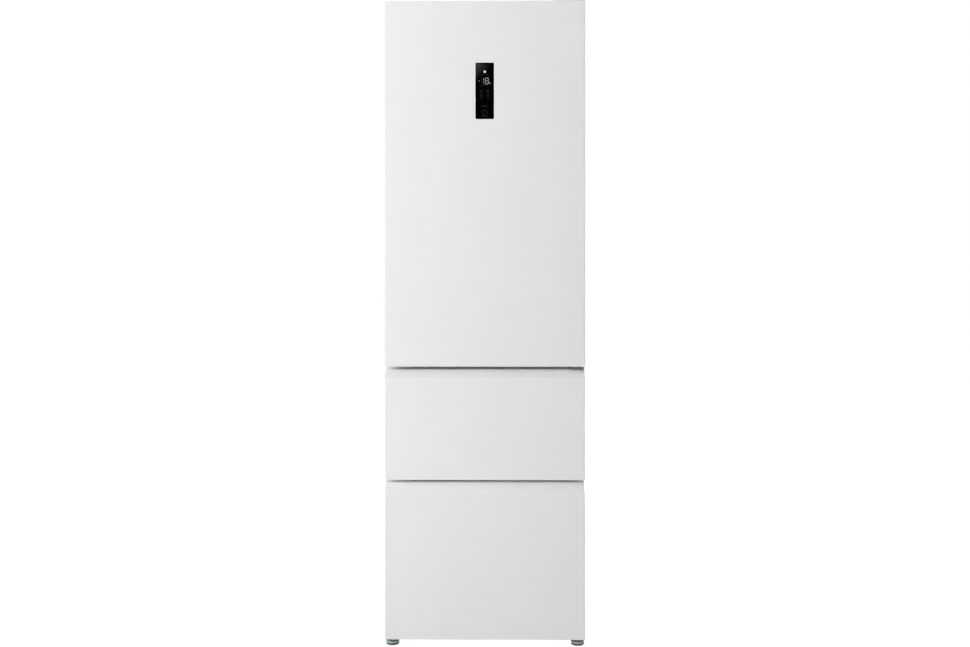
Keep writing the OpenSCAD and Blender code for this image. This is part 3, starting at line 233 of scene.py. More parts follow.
def foot_finish_with_painted_highlight(name):
    material, tree, shader, place = start_material(name)
    height = tree.nodes.new("ShaderNodeSeparateXYZ")
    tree.links.new(place, height.inputs["Vector"])
    share = tree.nodes.new("ShaderNodeMapRange")
    share.inputs["From Max"].default_value = FOOT_TOP
    tree.links.new(height.outputs["Z"], share.inputs["Value"])
    ramp = tree.nodes.new("ShaderNodeValToRGB")
    stops = ramp.color_ramp.elements
    while len(stops) < len(FOOT_COLOURS_AND_PAINTED_HIGHLIGHT):
        stops.new(0.5)
    for stop, (z, colour) in zip(stops, FOOT_COLOURS_AND_PAINTED_HIGHLIGHT):
        stop.position = z / FOOT_TOP
        stop.color = (*colour, 1.0)
    tree.links.new(share.outputs["Result"], ramp.inputs["Fac"])
    tree.links.new(ramp.outputs["Color"], shader.inputs["Base Color"])
    spread(tree, noise(tree, place, FOOT_GLOSS_SCALE), 0.16, 0.28, shader.inputs["Roughness"])
    relief(tree, shader, noise(tree, place, FOOT_GRAIN), 0.1, FOOT_GRAIN_DEPTH)
    shader.inputs["Coat Weight"].default_value = 0.3
    return material


slate_foot_painted_highlight = foot_finish_with_painted_highlight("slate_foot_painted_highlight")
print("foot finish ready, bands:", len(FOOT_COLOURS_AND_PAINTED_HIGHLIGHT))

# %% [markdown]
# ## Metals
# Zinc-coated sheet shows spangle: flat crystals a few millimetres across, each with its own grey. A
# Voronoi texture gives the cells, and its random colour the greys. Plated hinges and slides have fine
# draw lines instead, which a noise stretched along one axis gives. The hinges get this metal in a near
# black, which is partly painted shade: the shade of the gap in which the middle hinge sits.

# %% Metals
SPANGLE_SCALE = 260.0
WARP_SCALE = 220.0
WARP_DEPTH = 0.0002
LINE_SCALE = 420.0
LINE_DEPTH = 0.00005


def zinc_sheet(name, colour, roughness):
    material, tree, shader, place = start_material(name)
    cells = tree.nodes.new("ShaderNodeTexVoronoi")
    cells.inputs["Scale"].default_value = SPANGLE_SCALE
    tree.links.new(place, cells.inputs["Vector"])
    grey = tree.nodes.new("ShaderNodeSeparateColor")
    tree.links.new(cells.outputs["Color"], grey.inputs["Color"])
    shade(tree, grey.outputs["Red"], tint(colour, 0.95), tint(colour, 1.04), shader.inputs["Base Color"])
    spread(tree, grey.outputs["Green"], roughness - 0.05, roughness + 0.05, shader.inputs["Roughness"])
    relief(tree, shader, noise(tree, place, WARP_SCALE), 0.12, WARP_DEPTH)
    shader.inputs["Metallic"].default_value = 0.85
    return material


def drawn_metal(name, colour, roughness, stretch):
    material, tree, shader, place = start_material(name)
    lines = noise(tree, place, LINE_SCALE, 4.0, stretch)
    shade(tree, lines, tint(colour, 0.88), tint(colour, 1.08), shader.inputs["Base Color"])
    spread(tree, lines, roughness - 0.07, roughness + 0.08, shader.inputs["Roughness"])
    relief(tree, shader, lines, 0.15, LINE_DEPTH)
    shader.inputs["Metallic"].default_value = 1.0
    return material


zinc = zinc_sheet("zinc", (0.56, 0.57, 0.58), 0.42)
plated = drawn_metal("plated", (0.6, 0.61, 0.62), 0.32, (1.0, 0.15, 1.0))
# Near black, partly painted shade: the shade of the gap at the middle hinge.
near_black_and_painted_shade = drawn_metal("near_black_and_painted_shade", (0.15, 0.153, 0.158), 0.42, (1.0, 0.15, 1.0))
bright_rail = drawn_metal("bright_rail", (0.66, 0.67, 0.68), 0.26, (1.0, 0.02, 1.0))
fin_metal = drawn_metal("fin_metal", (0.78, 0.79, 0.8), 0.35, (1.0, 1.0, 0.08))
print("metals ready")

# %% [markdown]
# ## Glass and clear mouldings
# The shelves are toughened float glass, faintly green. The drawers, balconies and baskets are clear
# polystyrene, a little blue and never quite smooth, with a waviness from the mould that bends what is
# behind them. Both use transmission in the Principled shader.

# %% Clear materials
CLEAR_TINT_SCALE = 8.0
CLEAR_HAZE_SCALE = 30.0


def clear(name, colour, roughness, ior, wave, depth, transmission):
    material, tree, shader, place = start_material(name)
    shade(tree, noise(tree, place, CLEAR_TINT_SCALE), tint(colour, 0.985), tint(colour, 1.01),
          shader.inputs["Base Color"])
    spread(tree, noise(tree, place, CLEAR_HAZE_SCALE), max(roughness - 0.02, 0.0), roughness + 0.03,
           shader.inputs["Roughness"])
    relief(tree, shader, noise(tree, place, wave), 0.2, depth)
    shader.inputs["IOR"].default_value = ior
    shader.inputs["Transmission Weight"].default_value = transmission
    return material


shelf_glass = clear("shelf_glass", (0.9, 0.97, 0.94), 0.02, 1.5, 12.0, 0.0002, 1.0)
clear_moulding = clear("clear_moulding", (0.93, 0.96, 0.97), 0.06, 1.2, 45.0, 0.0004, 0.9)
print("clear materials ready")

# %% [markdown]
# ## Control panel glass and light lens
# The panel is a black glass, printed on its back. The glass itself reflects almost nothing, and a
# painted reflection takes its place: the colour turns from the black of the print to a grey towards the
# upper left corner, with a faint noise in it. Fine wipe marks vary its gloss. The way from that corner,
# along one edge and then up the other, sets the painted reflection, so its end runs across the corner.
# The signs shine from behind the glass, so they have no gloss. The ceiling light has an opal lens that
# glows.

# %% Panel and lens
panel_low, panel_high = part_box("display_glass")
# The painted reflection: how far it reaches from the corner, how far below the top it starts, how fast it
# falls off, and a faint noise in it.
REFLECTION_REACH = 0.052
REFLECTION_DROP = 0.010
REFLECTION_POWER = 1.7
REFLECTION_NOISE = 0.015
REFLECTION_NOISE_SCALE = 40.0
WIPE_SCALE = 70.0
WIPE_STRETCH = (1.0, 1.0, 0.2)
GLOW_SCALE = 120.0
PRINT_BLACK = (0.0002, 0.0002, 0.0003)
PAINTED_REFLECTION_GREY = (0.056, 0.057, 0.058)


def black_glass_painted_reflection(name):
    material, tree, shader, place = start_material(name)
    offset = tree.nodes.new("ShaderNodeVectorMath")
    offset.operation = "SUBTRACT"
    offset.inputs[1].default_value = (panel_low.x, panel_low.y, panel_high.z - REFLECTION_DROP)
    tree.links.new(place, offset.inputs[0])
    size = tree.nodes.new("ShaderNodeVectorMath")
    size.operation = "ABSOLUTE"
    tree.links.new(offset.outputs["Vector"], size.inputs[0])
    away = tree.nodes.new("ShaderNodeVectorMath")
    away.operation = "DOT_PRODUCT"
    away.inputs[1].default_value = (1.0, 0.0, 1.0)
    tree.links.new(size.outputs["Vector"], away.inputs[0])
    near = tree.nodes.new("ShaderNodeMapRange")
    near.inputs["From Max"].default_value = REFLECTION_REACH
    near.inputs["To Min"].default_value = 1.0
    near.inputs["To Max"].default_value = 0.0
    tree.links.new(away.outputs["Value"], near.inputs["Value"])
    fade = tree.nodes.new("ShaderNodeMath")
    fade.operation = "POWER"
    fade.inputs[1].default_value = REFLECTION_POWER
    tree.links.new(near.outputs["Result"], fade.inputs[0])
    reflection_noise = tree.nodes.new("ShaderNodeMath")
    reflection_noise.operation = "MULTIPLY_ADD"
    tree.links.new(noise(tree, place, REFLECTION_NOISE_SCALE), reflection_noise.inputs[0])
    reflection_noise.inputs[1].default_value = REFLECTION_NOISE
    tree.links.new(fade.outputs["Value"], reflection_noise.inputs[2])
    # Painted reflection: black print far from the corner, a grey reflection near it.
    painted_reflection = tree.nodes.new("ShaderNodeValToRGB")
    black, reflection_stop = painted_reflection.color_ramp.elements
    black.color, reflection_stop.color = (*PRINT_BLACK, 1.0), (*PAINTED_REFLECTION_GREY, 1.0)
    tree.links.new(reflection_noise.outputs["Value"], painted_reflection.inputs["Fac"])
    tree.links.new(painted_reflection.outputs["Color"], shader.inputs["Base Color"])
    spread(tree, noise(tree, place, WIPE_SCALE, 5.0, WIPE_STRETCH), 0.05, 0.11,
           shader.inputs["Roughness"])
    shader.inputs["Specular IOR Level"].default_value = 0.005
    return material


def glowing(name, colour, strength, gloss=0.5):
    """A colour that also gives light of its own."""
    material, tree, shader, place = start_material(name)
    shade(tree, noise(tree, place, GLOW_SCALE), tint(colour, 0.94), colour, shader.inputs["Base Color"])
    shader.inputs["Emission Color"].default_value = (*colour, 1.0)
    shader.inputs["Emission Strength"].default_value = strength
    shader.inputs["Specular IOR Level"].default_value = gloss
    shader.inputs["Roughness"].default_value = 0.4
    return material


panel_glass_painted_reflection = black_glass_painted_reflection("panel_glass_painted_reflection")
lens = glowing("lens", (0.97, 0.98, 1.0), 3.5)
lit_mark = glowing("lit_mark", (0.25, 0.262, 0.274), 0.3, 0.0)
dim_mark = glowing("dim_mark", (0.16, 0.168, 0.176), 0.3, 0.0)
faint_mark = glowing("faint_mark", (0.036, 0.038, 0.044), 0.02, 0.0)
touch_mark = glowing("touch_mark", (0.026, 0.0265, 0.0275), 0.02, 0.0)
night_mark = glowing("night_mark", (0.006, 0.014, 0.03), 0.02, 0.0)
bright_mark = glowing("bright_mark", (0.95, 0.97, 1.0), 0.1, 0.0)
print("panel materials ready")

# %% [markdown]
# ## Dress the parts
# A part from the construction file keeps its mesh, so only its material slot changes. One table says
# which finish each part has on the real appliance.

# %% Give each part its finish
FINISHES = [
    (white_enamel, "outer_case cross_rails door_skin middle_front_skin lower_front_skin"),
    (black_enamel, "compressor"),
    (moulded_white, "top_hinge_cover shelf_trims air_duct freezer_duct"),
    (grip_white_painted_light, "door_end_caps middle_front_caps lower_front_caps"),
    (formed_liner, "fridge_liner freezer_liner door_liner middle_front_liner lower_front_liner"),
    (grained_black, "machine_cover drip_tray mains_gland wall_spacers evaporator_fan display_housing"),
    (roller_rubber, "left_roller right_roller"),
    (seal_rubber, "door_seal middle_seal lower_seal"),
    (foam, "insulation door_insulation middle_front_core lower_front_core"),
    (slate_foot_painted_highlight, "left_foot right_foot"),
    (zinc, "rear_panel base_frame"),
    (near_black_and_painted_shade, "top_hinge middle_hinge"),
    (plated, "hinge_screws"),
    (bright_rail, "fixed_rails middle_runners middle_rail_members lower_runners lower_rail_members"),
    (fin_metal, "evaporator"),
    (shelf_glass, "shelf_1 shelf_2 shelf_3 crisper_shelf"),
    (clear_moulding, "chill_drawer crisper_drawer upper_balcony middle_balcony bottle_balcony "
                     "middle_basket lower_basket sliding_tray"),
    (panel_glass_painted_reflection, "display_glass"),
    (lens, "ceiling_light"),
]
dressed = set()
for material, names in FINISHES:
    for name in names.split():
        part = nodes[name]
        part.data.materials.clear()
        part.data.materials.append(material)
        dressed.add(name)
print("not dressed:", sorted(set(nodes) - dressed))

# %% [markdown]
# ## Signs on the control panel
# The glass shows a set temperature in plain digits, a white dot, and faint touch signs. The real ones
# shine through the glass from behind. Here each is a flat plate just in front of it, which looks the
# same. Digits are made as seven-segment bars, because that is how the real panel lights them.

# %% Flat plates
SIGN_LIFT = 0.00008
SIGN_MERGE = 1e-7
panel_x = (panel_low.x + panel_high.x) / 2
panel_top = panel_high.z
sign_y = panel_low.y - SIGN_LIFT


def plate(build, corners):
    """One flat face on the panel; corners are millimetres right of its middle and below its top."""
    build.faces.new([build.verts.new((panel_x + x / 1000, sign_y, panel_top - z / 1000))
                     for x, z in corners])


def bar(build, x0, z0, x1, z1, width):
    """A straight stroke with mitred ends."""
    along = Vector((x1 - x0, z1 - z0)).normalized()
    side = Vector((-along.y, along.x)) * width / 2
    tip = along * width / 2
    a, b = Vector((x0, z0)), Vector((x1, z1))
    plate(build, [a, a + side + tip, b + side - tip, b, b - side - tip, a - side + tip])


def on_circle(x, z, radius, angle):
    return x + radius * math.cos(angle), z + radius * math.sin(angle)


def disc(build, x, z, radius, count=32):
    plate(build, [on_circle(x, z, radius, 2 * math.pi * i / count) for i in range(count)])


def ring(build, x, z, radius, width, count=40):
    """A round stroke of short flat pieces."""
    r0, r1 = radius - width / 2, radius + width / 2
    for i in range(count):
        a, b = 2 * math.pi * i / count, 2 * math.pi * (i + 1) / count
        plate(build, [on_circle(x, z, r0, a), on_circle(x, z, r1, a),
                      on_circle(x, z, r1, b), on_circle(x, z, r0, b)])


def sign(name, material, draw):
    """A piece made of flat strokes that rides on the door."""
    build = bmesh.new()
    draw(build)
    bmesh.ops.remove_doubles(build, verts=build.verts, dist=SIGN_MERGE)
    for face in build.faces:
        face.normal_update()
        if face.normal.y > 0:
            face.normal_flip()
    mesh = bpy.data.meshes.new(name)
    build.to_mesh(mesh)
    build.free()
    mesh.materials.append(material)
    piece = bpy.data.objects.new(name, mesh)
    bpy.context.scene.collection.objects.link(piece)
    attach(piece, "door")


print("panel middle:", round(panel_x, 4), "top:", round(panel_top, 4))

# %% [markdown]
# The drawings below are in millimetres on the glass. From the top: an unlit sign, the white dot, an
# arrow, the temperature, an arrow, four functions, a line for the door, and the touch key. Each group
# has its own brightness, so each becomes one piece with one material.

# %% Draw the signs
SEGMENTS = {"1": "bc", "8": "abcdefg"}
COLUMN_X = 9.7
UPPER_ROW = 84.6
LOWER_ROW = 98.4
WORD_HALF = 4.4
WORD_DROP = 7.0


def digit(build, text, x, z, wide, high, width, gap=0.35):
    """A seven-segment digit with its top left corner at x, z, and a gap between its bars."""
    middle = z + high / 2
    strokes = {
        "a": (x + gap, z, x + wide - gap, z), "b": (x + wide, z + gap, x + wide, middle - gap),
        "c": (x + wide, middle + gap, x + wide, z + high - gap),
        "d": (x + gap, z + high, x + wide - gap, z + high),
        "e": (x, middle + gap, x, z + high - gap), "f": (x, z + gap, x, middle - gap),
        "g": (x + gap, middle, x + wide - gap, middle),
    }
    for letter in SEGMENTS[text]:
        bar(build, *strokes[letter], width)


def draw_temperature(build):
    bar(build, -18.2, 54.3, -14.2, 54.3, 1.8)
    digit(build, "8", 1.7, 45.5, 9.2, 17.8, 2.2)
    ring(build, 15.0, 60.9, 1.9, 1.4, count=20)


def draw_tens(build):
    digit(build, "1", -6.6, 45.5, 3.6, 17.8, 2.4)


def chevron(build, z, half, rise, width):
    """A flat arrow that points up."""
    bar(build, -half, z + rise, 0.0, z, width)
    bar(build, 0.0, z, half, z + rise, width)


def draw_signs(build):
    """Two arrows, a snowflake and a clock, a switch and three lines, and a line for each word."""
    chevron(build, 34.6, 11.5, 3.4, 1.3)
    chevron(build, 65.6, 12.0, 4.6, 1.3)
    for i in range(3):
        angle = math.radians(60 * i)
        dx, dz = 3.8 * math.cos(angle), 3.8 * math.sin(angle)
        bar(build, -COLUMN_X - dx, UPPER_ROW - dz, -COLUMN_X + dx, UPPER_ROW + dz, 1.0)
    ring(build, COLUMN_X, UPPER_ROW, 3.2, 1.1)
    bar(build, COLUMN_X, UPPER_ROW - 1.0, COLUMN_X, UPPER_ROW + 1.2, 0.9)
    ring(build, -COLUMN_X, LOWER_ROW, 3.0, 1.0)
    bar(build, -COLUMN_X, LOWER_ROW - 1.0, -COLUMN_X, LOWER_ROW + 1.0, 0.9)
    for i in range(3):
        z = LOWER_ROW - 2.0 + 2.3 * i
        bar(build, COLUMN_X - 3.1, z, COLUMN_X + 3.1, z, 0.9)
    for x in (-COLUMN_X, COLUMN_X):
        for z in (UPPER_ROW + WORD_DROP, LOWER_ROW + WORD_DROP):
            bar(build, x - WORD_HALF, z, x + WORD_HALF, z, 0.9)


def draw_touch_marks(build):
    bar(build, -11.5, 130.2, 11.5, 130.2, 1.3)
    bar(build, -7.0, 127.4, 7.0, 127.4, 1.1)
    ring(build, 0.0, 147.6, 7.2, 1.5)
    bar(build, -8.2, 158.2, 8.2, 158.2, 1.3)
    bar(build, -8.2, 160.8, 8.2, 160.8, 0.9)


def draw_dot(build):
    disc(build, 0.0, 27.0, 3.3)


def draw_night_marks(build):
    """An unlit sign above the dot, and the unlit bars of the first digit."""
    plate(build, [(-3.8, 10.5), (3.8, 10.5), (3.8, 19.5), (-3.8, 19.5)])
    plate(build, [(-11.0, 45.0), (-7.4, 45.0), (-7.4, 64.0), (-11.0, 64.0)])


SIGNS = [
    ("panel_temperature", lit_mark, draw_temperature),
    ("panel_tens", dim_mark, draw_tens),
    ("panel_signs", faint_mark, draw_signs),
    ("panel_touch_marks", touch_mark, draw_touch_marks),
    ("panel_night_marks", night_mark, draw_night_marks),
    ("panel_dot", bright_mark, draw_dot),
]
for name, material, draw in SIGNS:
    sign(name, material, draw)
print("signs:", len(SIGNS))

# %% [markdown]
# ## Small parts that repeat
# Screws, louvres and ribs are one shape many times over, and a door seal is one profile along one
# path. Geometry Nodes suit both. A tree takes a mesh of places, an object to repeat or sweep and a
# finish. Its inputs are set by identifier before the result is first asked for, and the result is then
# kept as a plain mesh, because an export holds meshes and not trees.

# %% Helpers for node trees
def start_tree(name, inputs):
    """A geometry tree with named inputs, its nodes for what goes in and what comes out."""
    tree = bpy.data.node_groups.new(name, "GeometryNodeTree")
    tree.interface.new_socket("Geometry", in_out="INPUT", socket_type="NodeSocketGeometry")
    for label, kind in inputs:
        tree.interface.new_socket(label, in_out="INPUT", socket_type=kind)
    tree.interface.new_socket("Geometry", in_out="OUTPUT", socket_type="NodeSocketGeometry")
    return tree, tree.nodes.new("NodeGroupInput").outputs, tree.nodes.new("NodeGroupOutput").inputs


def end_tree(tree, made, finish, result):
    """Every tree ends in real faces that carry their finish."""
    real = tree.nodes.new("GeometryNodeRealizeInstances")
    coat = tree.nodes.new("GeometryNodeSetMaterial")
    tree.links.new(made, real.inputs["Geometry"])
    tree.links.new(real.outputs["Geometry"], coat.inputs["Geometry"])
    tree.links.new(finish, coat.inputs["Material"])
    tree.links.new(coat.outputs["Geometry"], result["Geometry"])


def build_scatter():
    """Puts a shape on each point, its Z along the point's facing, spun by a seeded random angle."""
    tree, given, result = start_tree("scatter", [
        ("Shape", "NodeSocketObject"), ("Spin", "NodeSocketFloat"), ("Seed", "NodeSocketInt"),
        ("Finish", "NodeSocketMaterial")])
    facing = tree.nodes.new("GeometryNodeInputNamedAttribute")
    facing.data_type = "FLOAT_VECTOR"
    facing.inputs["Name"].default_value = "facing"
    aim = tree.nodes.new("FunctionNodeAlignRotationToVector")
    aim.axis = "Z"
    tree.links.new(facing.outputs["Attribute"], aim.inputs["Vector"])
    chance = tree.nodes.new("FunctionNodeRandomValue")
    chance.data_type = "FLOAT"
    limits = [s for s in chance.inputs if s.name in ("Min", "Max") and s.type == "VALUE"]
    angle_low, angle_high = limits[:2]
    angle_low.default_value = 0.0
    tree.links.new(given["Spin"], angle_high)
    tree.links.new(given["Seed"], chance.inputs["Seed"])
    spin = tree.nodes.new("FunctionNodeAxisAngleToRotation")
    spin.inputs["Axis"].default_value = (0.0, 0.0, 1.0)
    angle = [s for s in chance.outputs if s.type == "VALUE"][0]
    tree.links.new(angle, spin.inputs["Angle"])
    turned = tree.nodes.new("FunctionNodeRotateRotation")
    turned.rotation_space = "LOCAL"
    tree.links.new(aim.outputs["Rotation"], turned.inputs["Rotation"])
    tree.links.new(spin.outputs["Rotation"], turned.inputs["Rotate By"])
    shape = tree.nodes.new("GeometryNodeObjectInfo")
    tree.links.new(given["Shape"], shape.inputs["Object"])
    placed = tree.nodes.new("GeometryNodeInstanceOnPoints")
    tree.links.new(given["Geometry"], placed.inputs["Points"])
    tree.links.new(shape.outputs["Geometry"], placed.inputs["Instance"])
    tree.links.new(turned.outputs["Rotation"], placed.inputs["Rotation"])
    end_tree(tree, placed.outputs["Instances"], given["Finish"], result)
    return tree


def build_sweep():
    """Carries a profile along a closed path in an upright plane; the profile's X points to the front."""
    tree, given, result = start_tree("sweep", [
        ("Profile", "NodeSocketObject"), ("Finish", "NodeSocketMaterial")])
    path = tree.nodes.new("GeometryNodeMeshToCurve")
    tree.links.new(given["Geometry"], path.inputs["Mesh"])
    level = tree.nodes.new("GeometryNodeSetCurveNormal")
    level.mode = "FREE"
    level.inputs["Normal"].default_value = (0.0, -1.0, 0.0)
    tree.links.new(path.outputs["Curve"], level.inputs["Curve"])
    shape = tree.nodes.new("GeometryNodeObjectInfo")
    tree.links.new(given["Profile"], shape.inputs["Object"])
    outline = tree.nodes.new("GeometryNodeMeshToCurve")
    tree.links.new(shape.outputs["Geometry"], outline.inputs["Mesh"])
    skin = tree.nodes.new("GeometryNodeCurveToMesh")
    tree.links.new(level.outputs["Curve"], skin.inputs["Curve"])
    tree.links.new(outline.outputs["Curve"], skin.inputs["Profile Curve"])
    end_tree(tree, skin.outputs["Mesh"], given["Finish"], result)
    return tree


scatter = build_scatter()
sweep = build_sweep()
print("trees:", scatter.name, sweep.name)

# %% [markdown]
# A tree works on an object that lies at the origin. The result becomes a plain mesh, the modifier is
# taken off, doubles are merged and the faces turned out. Only then does the piece ride on its body.

# %% From a tree to a piece
MERGE_DISTANCE = 1e-6


def helper_object(name, mesh):
    thing = bpy.data.objects.new(name, mesh)
    bpy.context.scene.collection.objects.link(thing)
    return thing


def outward(mesh):
    """Merges doubles and turns every face out."""
    build = bmesh.new()
    build.from_mesh(mesh)
    bmesh.ops.remove_doubles(build, verts=build.verts, dist=MERGE_DISTANCE)
    bmesh.ops.recalc_face_normals(build, faces=build.faces)
    build.to_mesh(mesh)
    build.free()


def grow(name, start, tree, inputs, body, replaced=()):
    """Runs a tree on a mesh, keeps the result as a plain mesh and lets it ride on a body."""
    piece = helper_object(name, start)
    modifier = piece.modifiers.new(tree.name, "NODES")
    modifier.node_group = tree
    sockets = {item.name: item.identifier for item in tree.interface.items_tree
               if item.item_type == "SOCKET" and item.in_out == "INPUT"}
    for label, value in inputs.items():
        modifier[sockets[label]] = value
    ready = piece.evaluated_get(bpy.context.evaluated_depsgraph_get())
    mesh = bpy.data.meshes.new_from_object(ready)
    piece.modifiers.remove(modifier)
    piece.data = mesh
    outward(mesh)
    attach(piece, body)
    if replaced:
        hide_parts(*replaced)
    print(name, "faces:", len(mesh.polygons))
    return piece


def places(points, facing):
    """A mesh of single points, each with the direction that a shape on it faces."""
    mesh = bpy.data.meshes.new("places")
    mesh.from_pydata([Vector(p) for p in points], [], [])
    attribute = mesh.attributes.new("facing", "FLOAT_VECTOR", "POINT")
    for item in attribute.data:
        item.vector = facing
    return mesh


def finish_shape(build, name):
    """Keeps a shape built face by face as a helper object."""
    bmesh.ops.recalc_face_normals(build, faces=build.faces)
    mesh = bpy.data.meshes.new(name)
    build.to_mesh(mesh)
    build.free()
    print(name, "faces:", len(mesh.polygons))
    return helper_object(name, mesh)


def bridge(build, a, b):
    """A band of faces between two closed loops of as many vertices."""
    count = len(a)
    for i in range(count):
        j = (i + 1) % count
        build.faces.new((a[i], a[j], b[j], b[i]))


def closed_edges(count):
    return [(i, (i + 1) % count) for i in range(count)]


def even(low, high, count):
    return [low + (high - low) * i / (count - 1) for i in range(count)]


print("tree helpers ready")

# %% [markdown]
# ## Screws
# The rear sheets, the duct panel and the drawers' slides are held by pan head screws with a cross
# recess. One head is modelled as rings of vertices: the recess is the outline of a plus sign, found by
# how far a ray from the middle runs inside the two arms. A seeded spin leaves each cross at its own
# angle, as a screwdriver would.

# %% A screw head
SCREW_RADIUS = 0.004
SCREW_HEIGHT = 0.0022
ARM_LONG = 0.55
ARM_HALF = 0.13
ARM_TURN = math.atan2(ARM_HALF, ARM_LONG)
TINY = 1e-9
QUARTER = [0.0, ARM_TURN, math.radians(28), math.pi / 4, math.radians(62), math.pi / 2 - ARM_TURN]
# Share of the radius or of the recess, and share of the height
HEAD_ROUND = [(1.0, -0.1), (1.0, 0.3), (0.93, 0.62), (0.78, 0.88), (0.62, 1.0)]
HEAD_RECESS = [(1.0, 1.0), (0.8, 0.3)]


def recess_reach(angle):
    """How far a ray at this angle runs inside the plus sign, as a share of the head's radius."""
    along, across = max(abs(math.cos(angle)), TINY), max(abs(math.sin(angle)), TINY)
    return max(min(ARM_HALF / across, ARM_LONG / along), min(ARM_HALF / along, ARM_LONG / across))


def screw_head():
    """Rings of vertices: round ones up the head, then two that follow the recess down."""
    angles = [q * math.pi / 2 + a for q in range(4) for a in QUARTER]
    rings = [([reach] * len(angles), height) for reach, height in HEAD_ROUND]
    rings += [([share * recess_reach(a) for a in angles], height) for share, height in HEAD_RECESS]
    build = bmesh.new()
    loops = [[build.verts.new((SCREW_RADIUS * reach * math.cos(a), SCREW_RADIUS * reach * math.sin(a),
                               SCREW_HEIGHT * height)) for reach, a in zip(reaches, angles)]
             for reaches, height in rings]
    for lower, upper in zip(loops, loops[1:]):
        bridge(build, lower, upper)
    build.faces.new(loops[-1])
    build.faces.new(list(reversed(loops[0])))
    return finish_shape(build, "screw_head")


head = screw_head()

# %% [markdown]
# The cover of the machine bay has a row above, a row below and one screw on each side. The rear panel
# is screwed along both sides and its top. The duct panel has three on a side. Each slide hangs on a
# screw through a tab at its front end.

# %% Set the screws
COVER_TOP_HALF = 0.27
COVER_TOP_DROP = 0.008
COVER_LOW_ROW = (-0.22, -0.08, 0.08, 0.22)
COVER_LOW_RISE = 0.009
COVER_SIDE_X = 0.284
COVER_SIDE_Z = 0.125
PANEL_SIDE = 0.289
PANEL_START = 0.02
PANEL_RIM = 0.012
PANEL_TOP_HALF = 0.19
DUCT_SIDE = 0.238
DUCT_END = 0.03
TAB_INSET = 0.0078
TAB_THICK = 0.003
TAB_SCREW_DROP = 0.006
TO_BACK = (0.0, 1.0, 0.0)
TO_FRONT = (0.0, -1.0, 0.0)
FULL_TURN = 2 * math.pi


def screws(name, points, facing, finish, body, seed):
    return grow(name, places(points, facing), scatter,
                {"Shape": head, "Spin": FULL_TURN, "Seed": seed, "Finish": finish}, body)


cover_low, cover_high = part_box("machine_cover")
panel_top_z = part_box("rear_panel")[1].z
cover_points = [(x, cover_high.y, cover_high.z - COVER_TOP_DROP)
                for x in even(-COVER_TOP_HALF, COVER_TOP_HALF, 5)]
cover_points += [(x, cover_high.y, cover_low.z + COVER_LOW_RISE) for x in COVER_LOW_ROW]
cover_points += [(side * COVER_SIDE_X, cover_high.y, COVER_SIDE_Z) for side in (-1, 1)]
screws("cover_screws", cover_points, TO_BACK, plated, "cabinet", seed=3)

panel_points = [(side * PANEL_SIDE, cover_high.y, z) for side in (-1, 1)
                for z in even(cover_high.z + PANEL_START, panel_top_z - PANEL_RIM, 7)]
panel_points += [(x, cover_high.y, panel_top_z - PANEL_RIM)
                 for x in even(-PANEL_TOP_HALF, PANEL_TOP_HALF, 4)]
screws("rear_panel_screws", panel_points, TO_BACK, plated, "cabinet", seed=5)

duct_low, duct_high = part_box("freezer_duct")
duct_points = [(side * DUCT_SIDE, duct_low.y, z) for side in (-1, 1)
               for z in even(duct_low.z + DUCT_END, duct_high.z - DUCT_END, 3)]
screws("duct_screws", duct_points, TO_FRONT, plated, "cabinet", seed=7)

for drawer, body, seed in (("middle", "middle_drawer", 11), ("lower", "lower_drawer", 13)):
    runner_low, runner_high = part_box(drawer + "_runners")
    tab_points = [(side * (runner_high.x - TAB_INSET), runner_low.y + TAB_THICK,
                   runner_high.z - TAB_SCREW_DROP) for side in (-1, 1)]
    screws(drawer + "_slide_screws", tab_points, TO_BACK, plated, body, seed)

# %% [markdown]
# ## Door seals
# A magnetic seal is an extruded vinyl profile, cut and welded into a frame. It has a foot pressed into
# a groove of the door liner, a soft bellows with one fold, and a head that holds the magnet strip. The
# profile is drawn once, as half an outline and its mirror image, and carried round each opening.

# %% The seal's profile
# Millimetres out of the middle line, and in front of the foot
SEAL_HALF = [(9.0, 0.0), (9.0, 1.2), (8.3, 2.4), (5.6, 2.9), (4.5, 3.6), (5.8, 4.6), (6.0, 5.3),
             (5.6, 6.0), (4.5, 6.9), (5.2, 7.6), (7.5, 7.9), (8.0, 8.5), (8.0, 12.2), (7.3, 12.9),
             (2.2, 12.9), (1.6, 12.5)]
SEAL_CORNER = 0.0105
CORNER_STEPS = 8


def seal_profile():
    """A closed outline: X is the distance to the front, Y the distance out of the frame's middle line."""
    half = [(-depth / 1000, out / 1000) for out, depth in SEAL_HALF]
    outline = half + [(x, -y) for x, y in reversed(half)]
    mesh = bpy.data.meshes.new("seal_profile")
    mesh.from_pydata([(x, y, 0.0) for x, y in outline], closed_edges(len(outline)), [])
    return helper_object("seal_profile", mesh)


def seal_path(low, high, inset):
    """A rounded rectangle at the foot of the seal, which starts at the middle of its lowest edge."""
    x0, x1, z0, z1 = low.x + inset, high.x - inset, low.z + inset, high.z - inset
    centres = [(x1, z0, -90), (x1, z1, 0), (x0, z1, 90), (x0, z0, 180)]
    points = [((x0 + x1) / 2, z0)]
    for cx, cz, start in centres:
        middle_x = cx - math.copysign(SEAL_CORNER, cx)
        middle_z = cz + (SEAL_CORNER if cz == z0 else -SEAL_CORNER)
        for step in range(CORNER_STEPS + 1):
            angle = math.radians(start + 90 * step / CORNER_STEPS)
            points.append(on_circle(middle_x, middle_z, SEAL_CORNER, angle))
    mesh = bpy.data.meshes.new("seal_path")
    mesh.from_pydata([(x, low.y, z) for x, z in points], closed_edges(len(points)), [])
    return mesh


profile = seal_profile()
print("outline points:", len(profile.data.vertices))

# %% [markdown]
# The plain frame of the construction file gives each seal its place and its outer size. The swept one
# takes over from it, so the two boxes are compared: they agree to a hundredth of a millimetre.

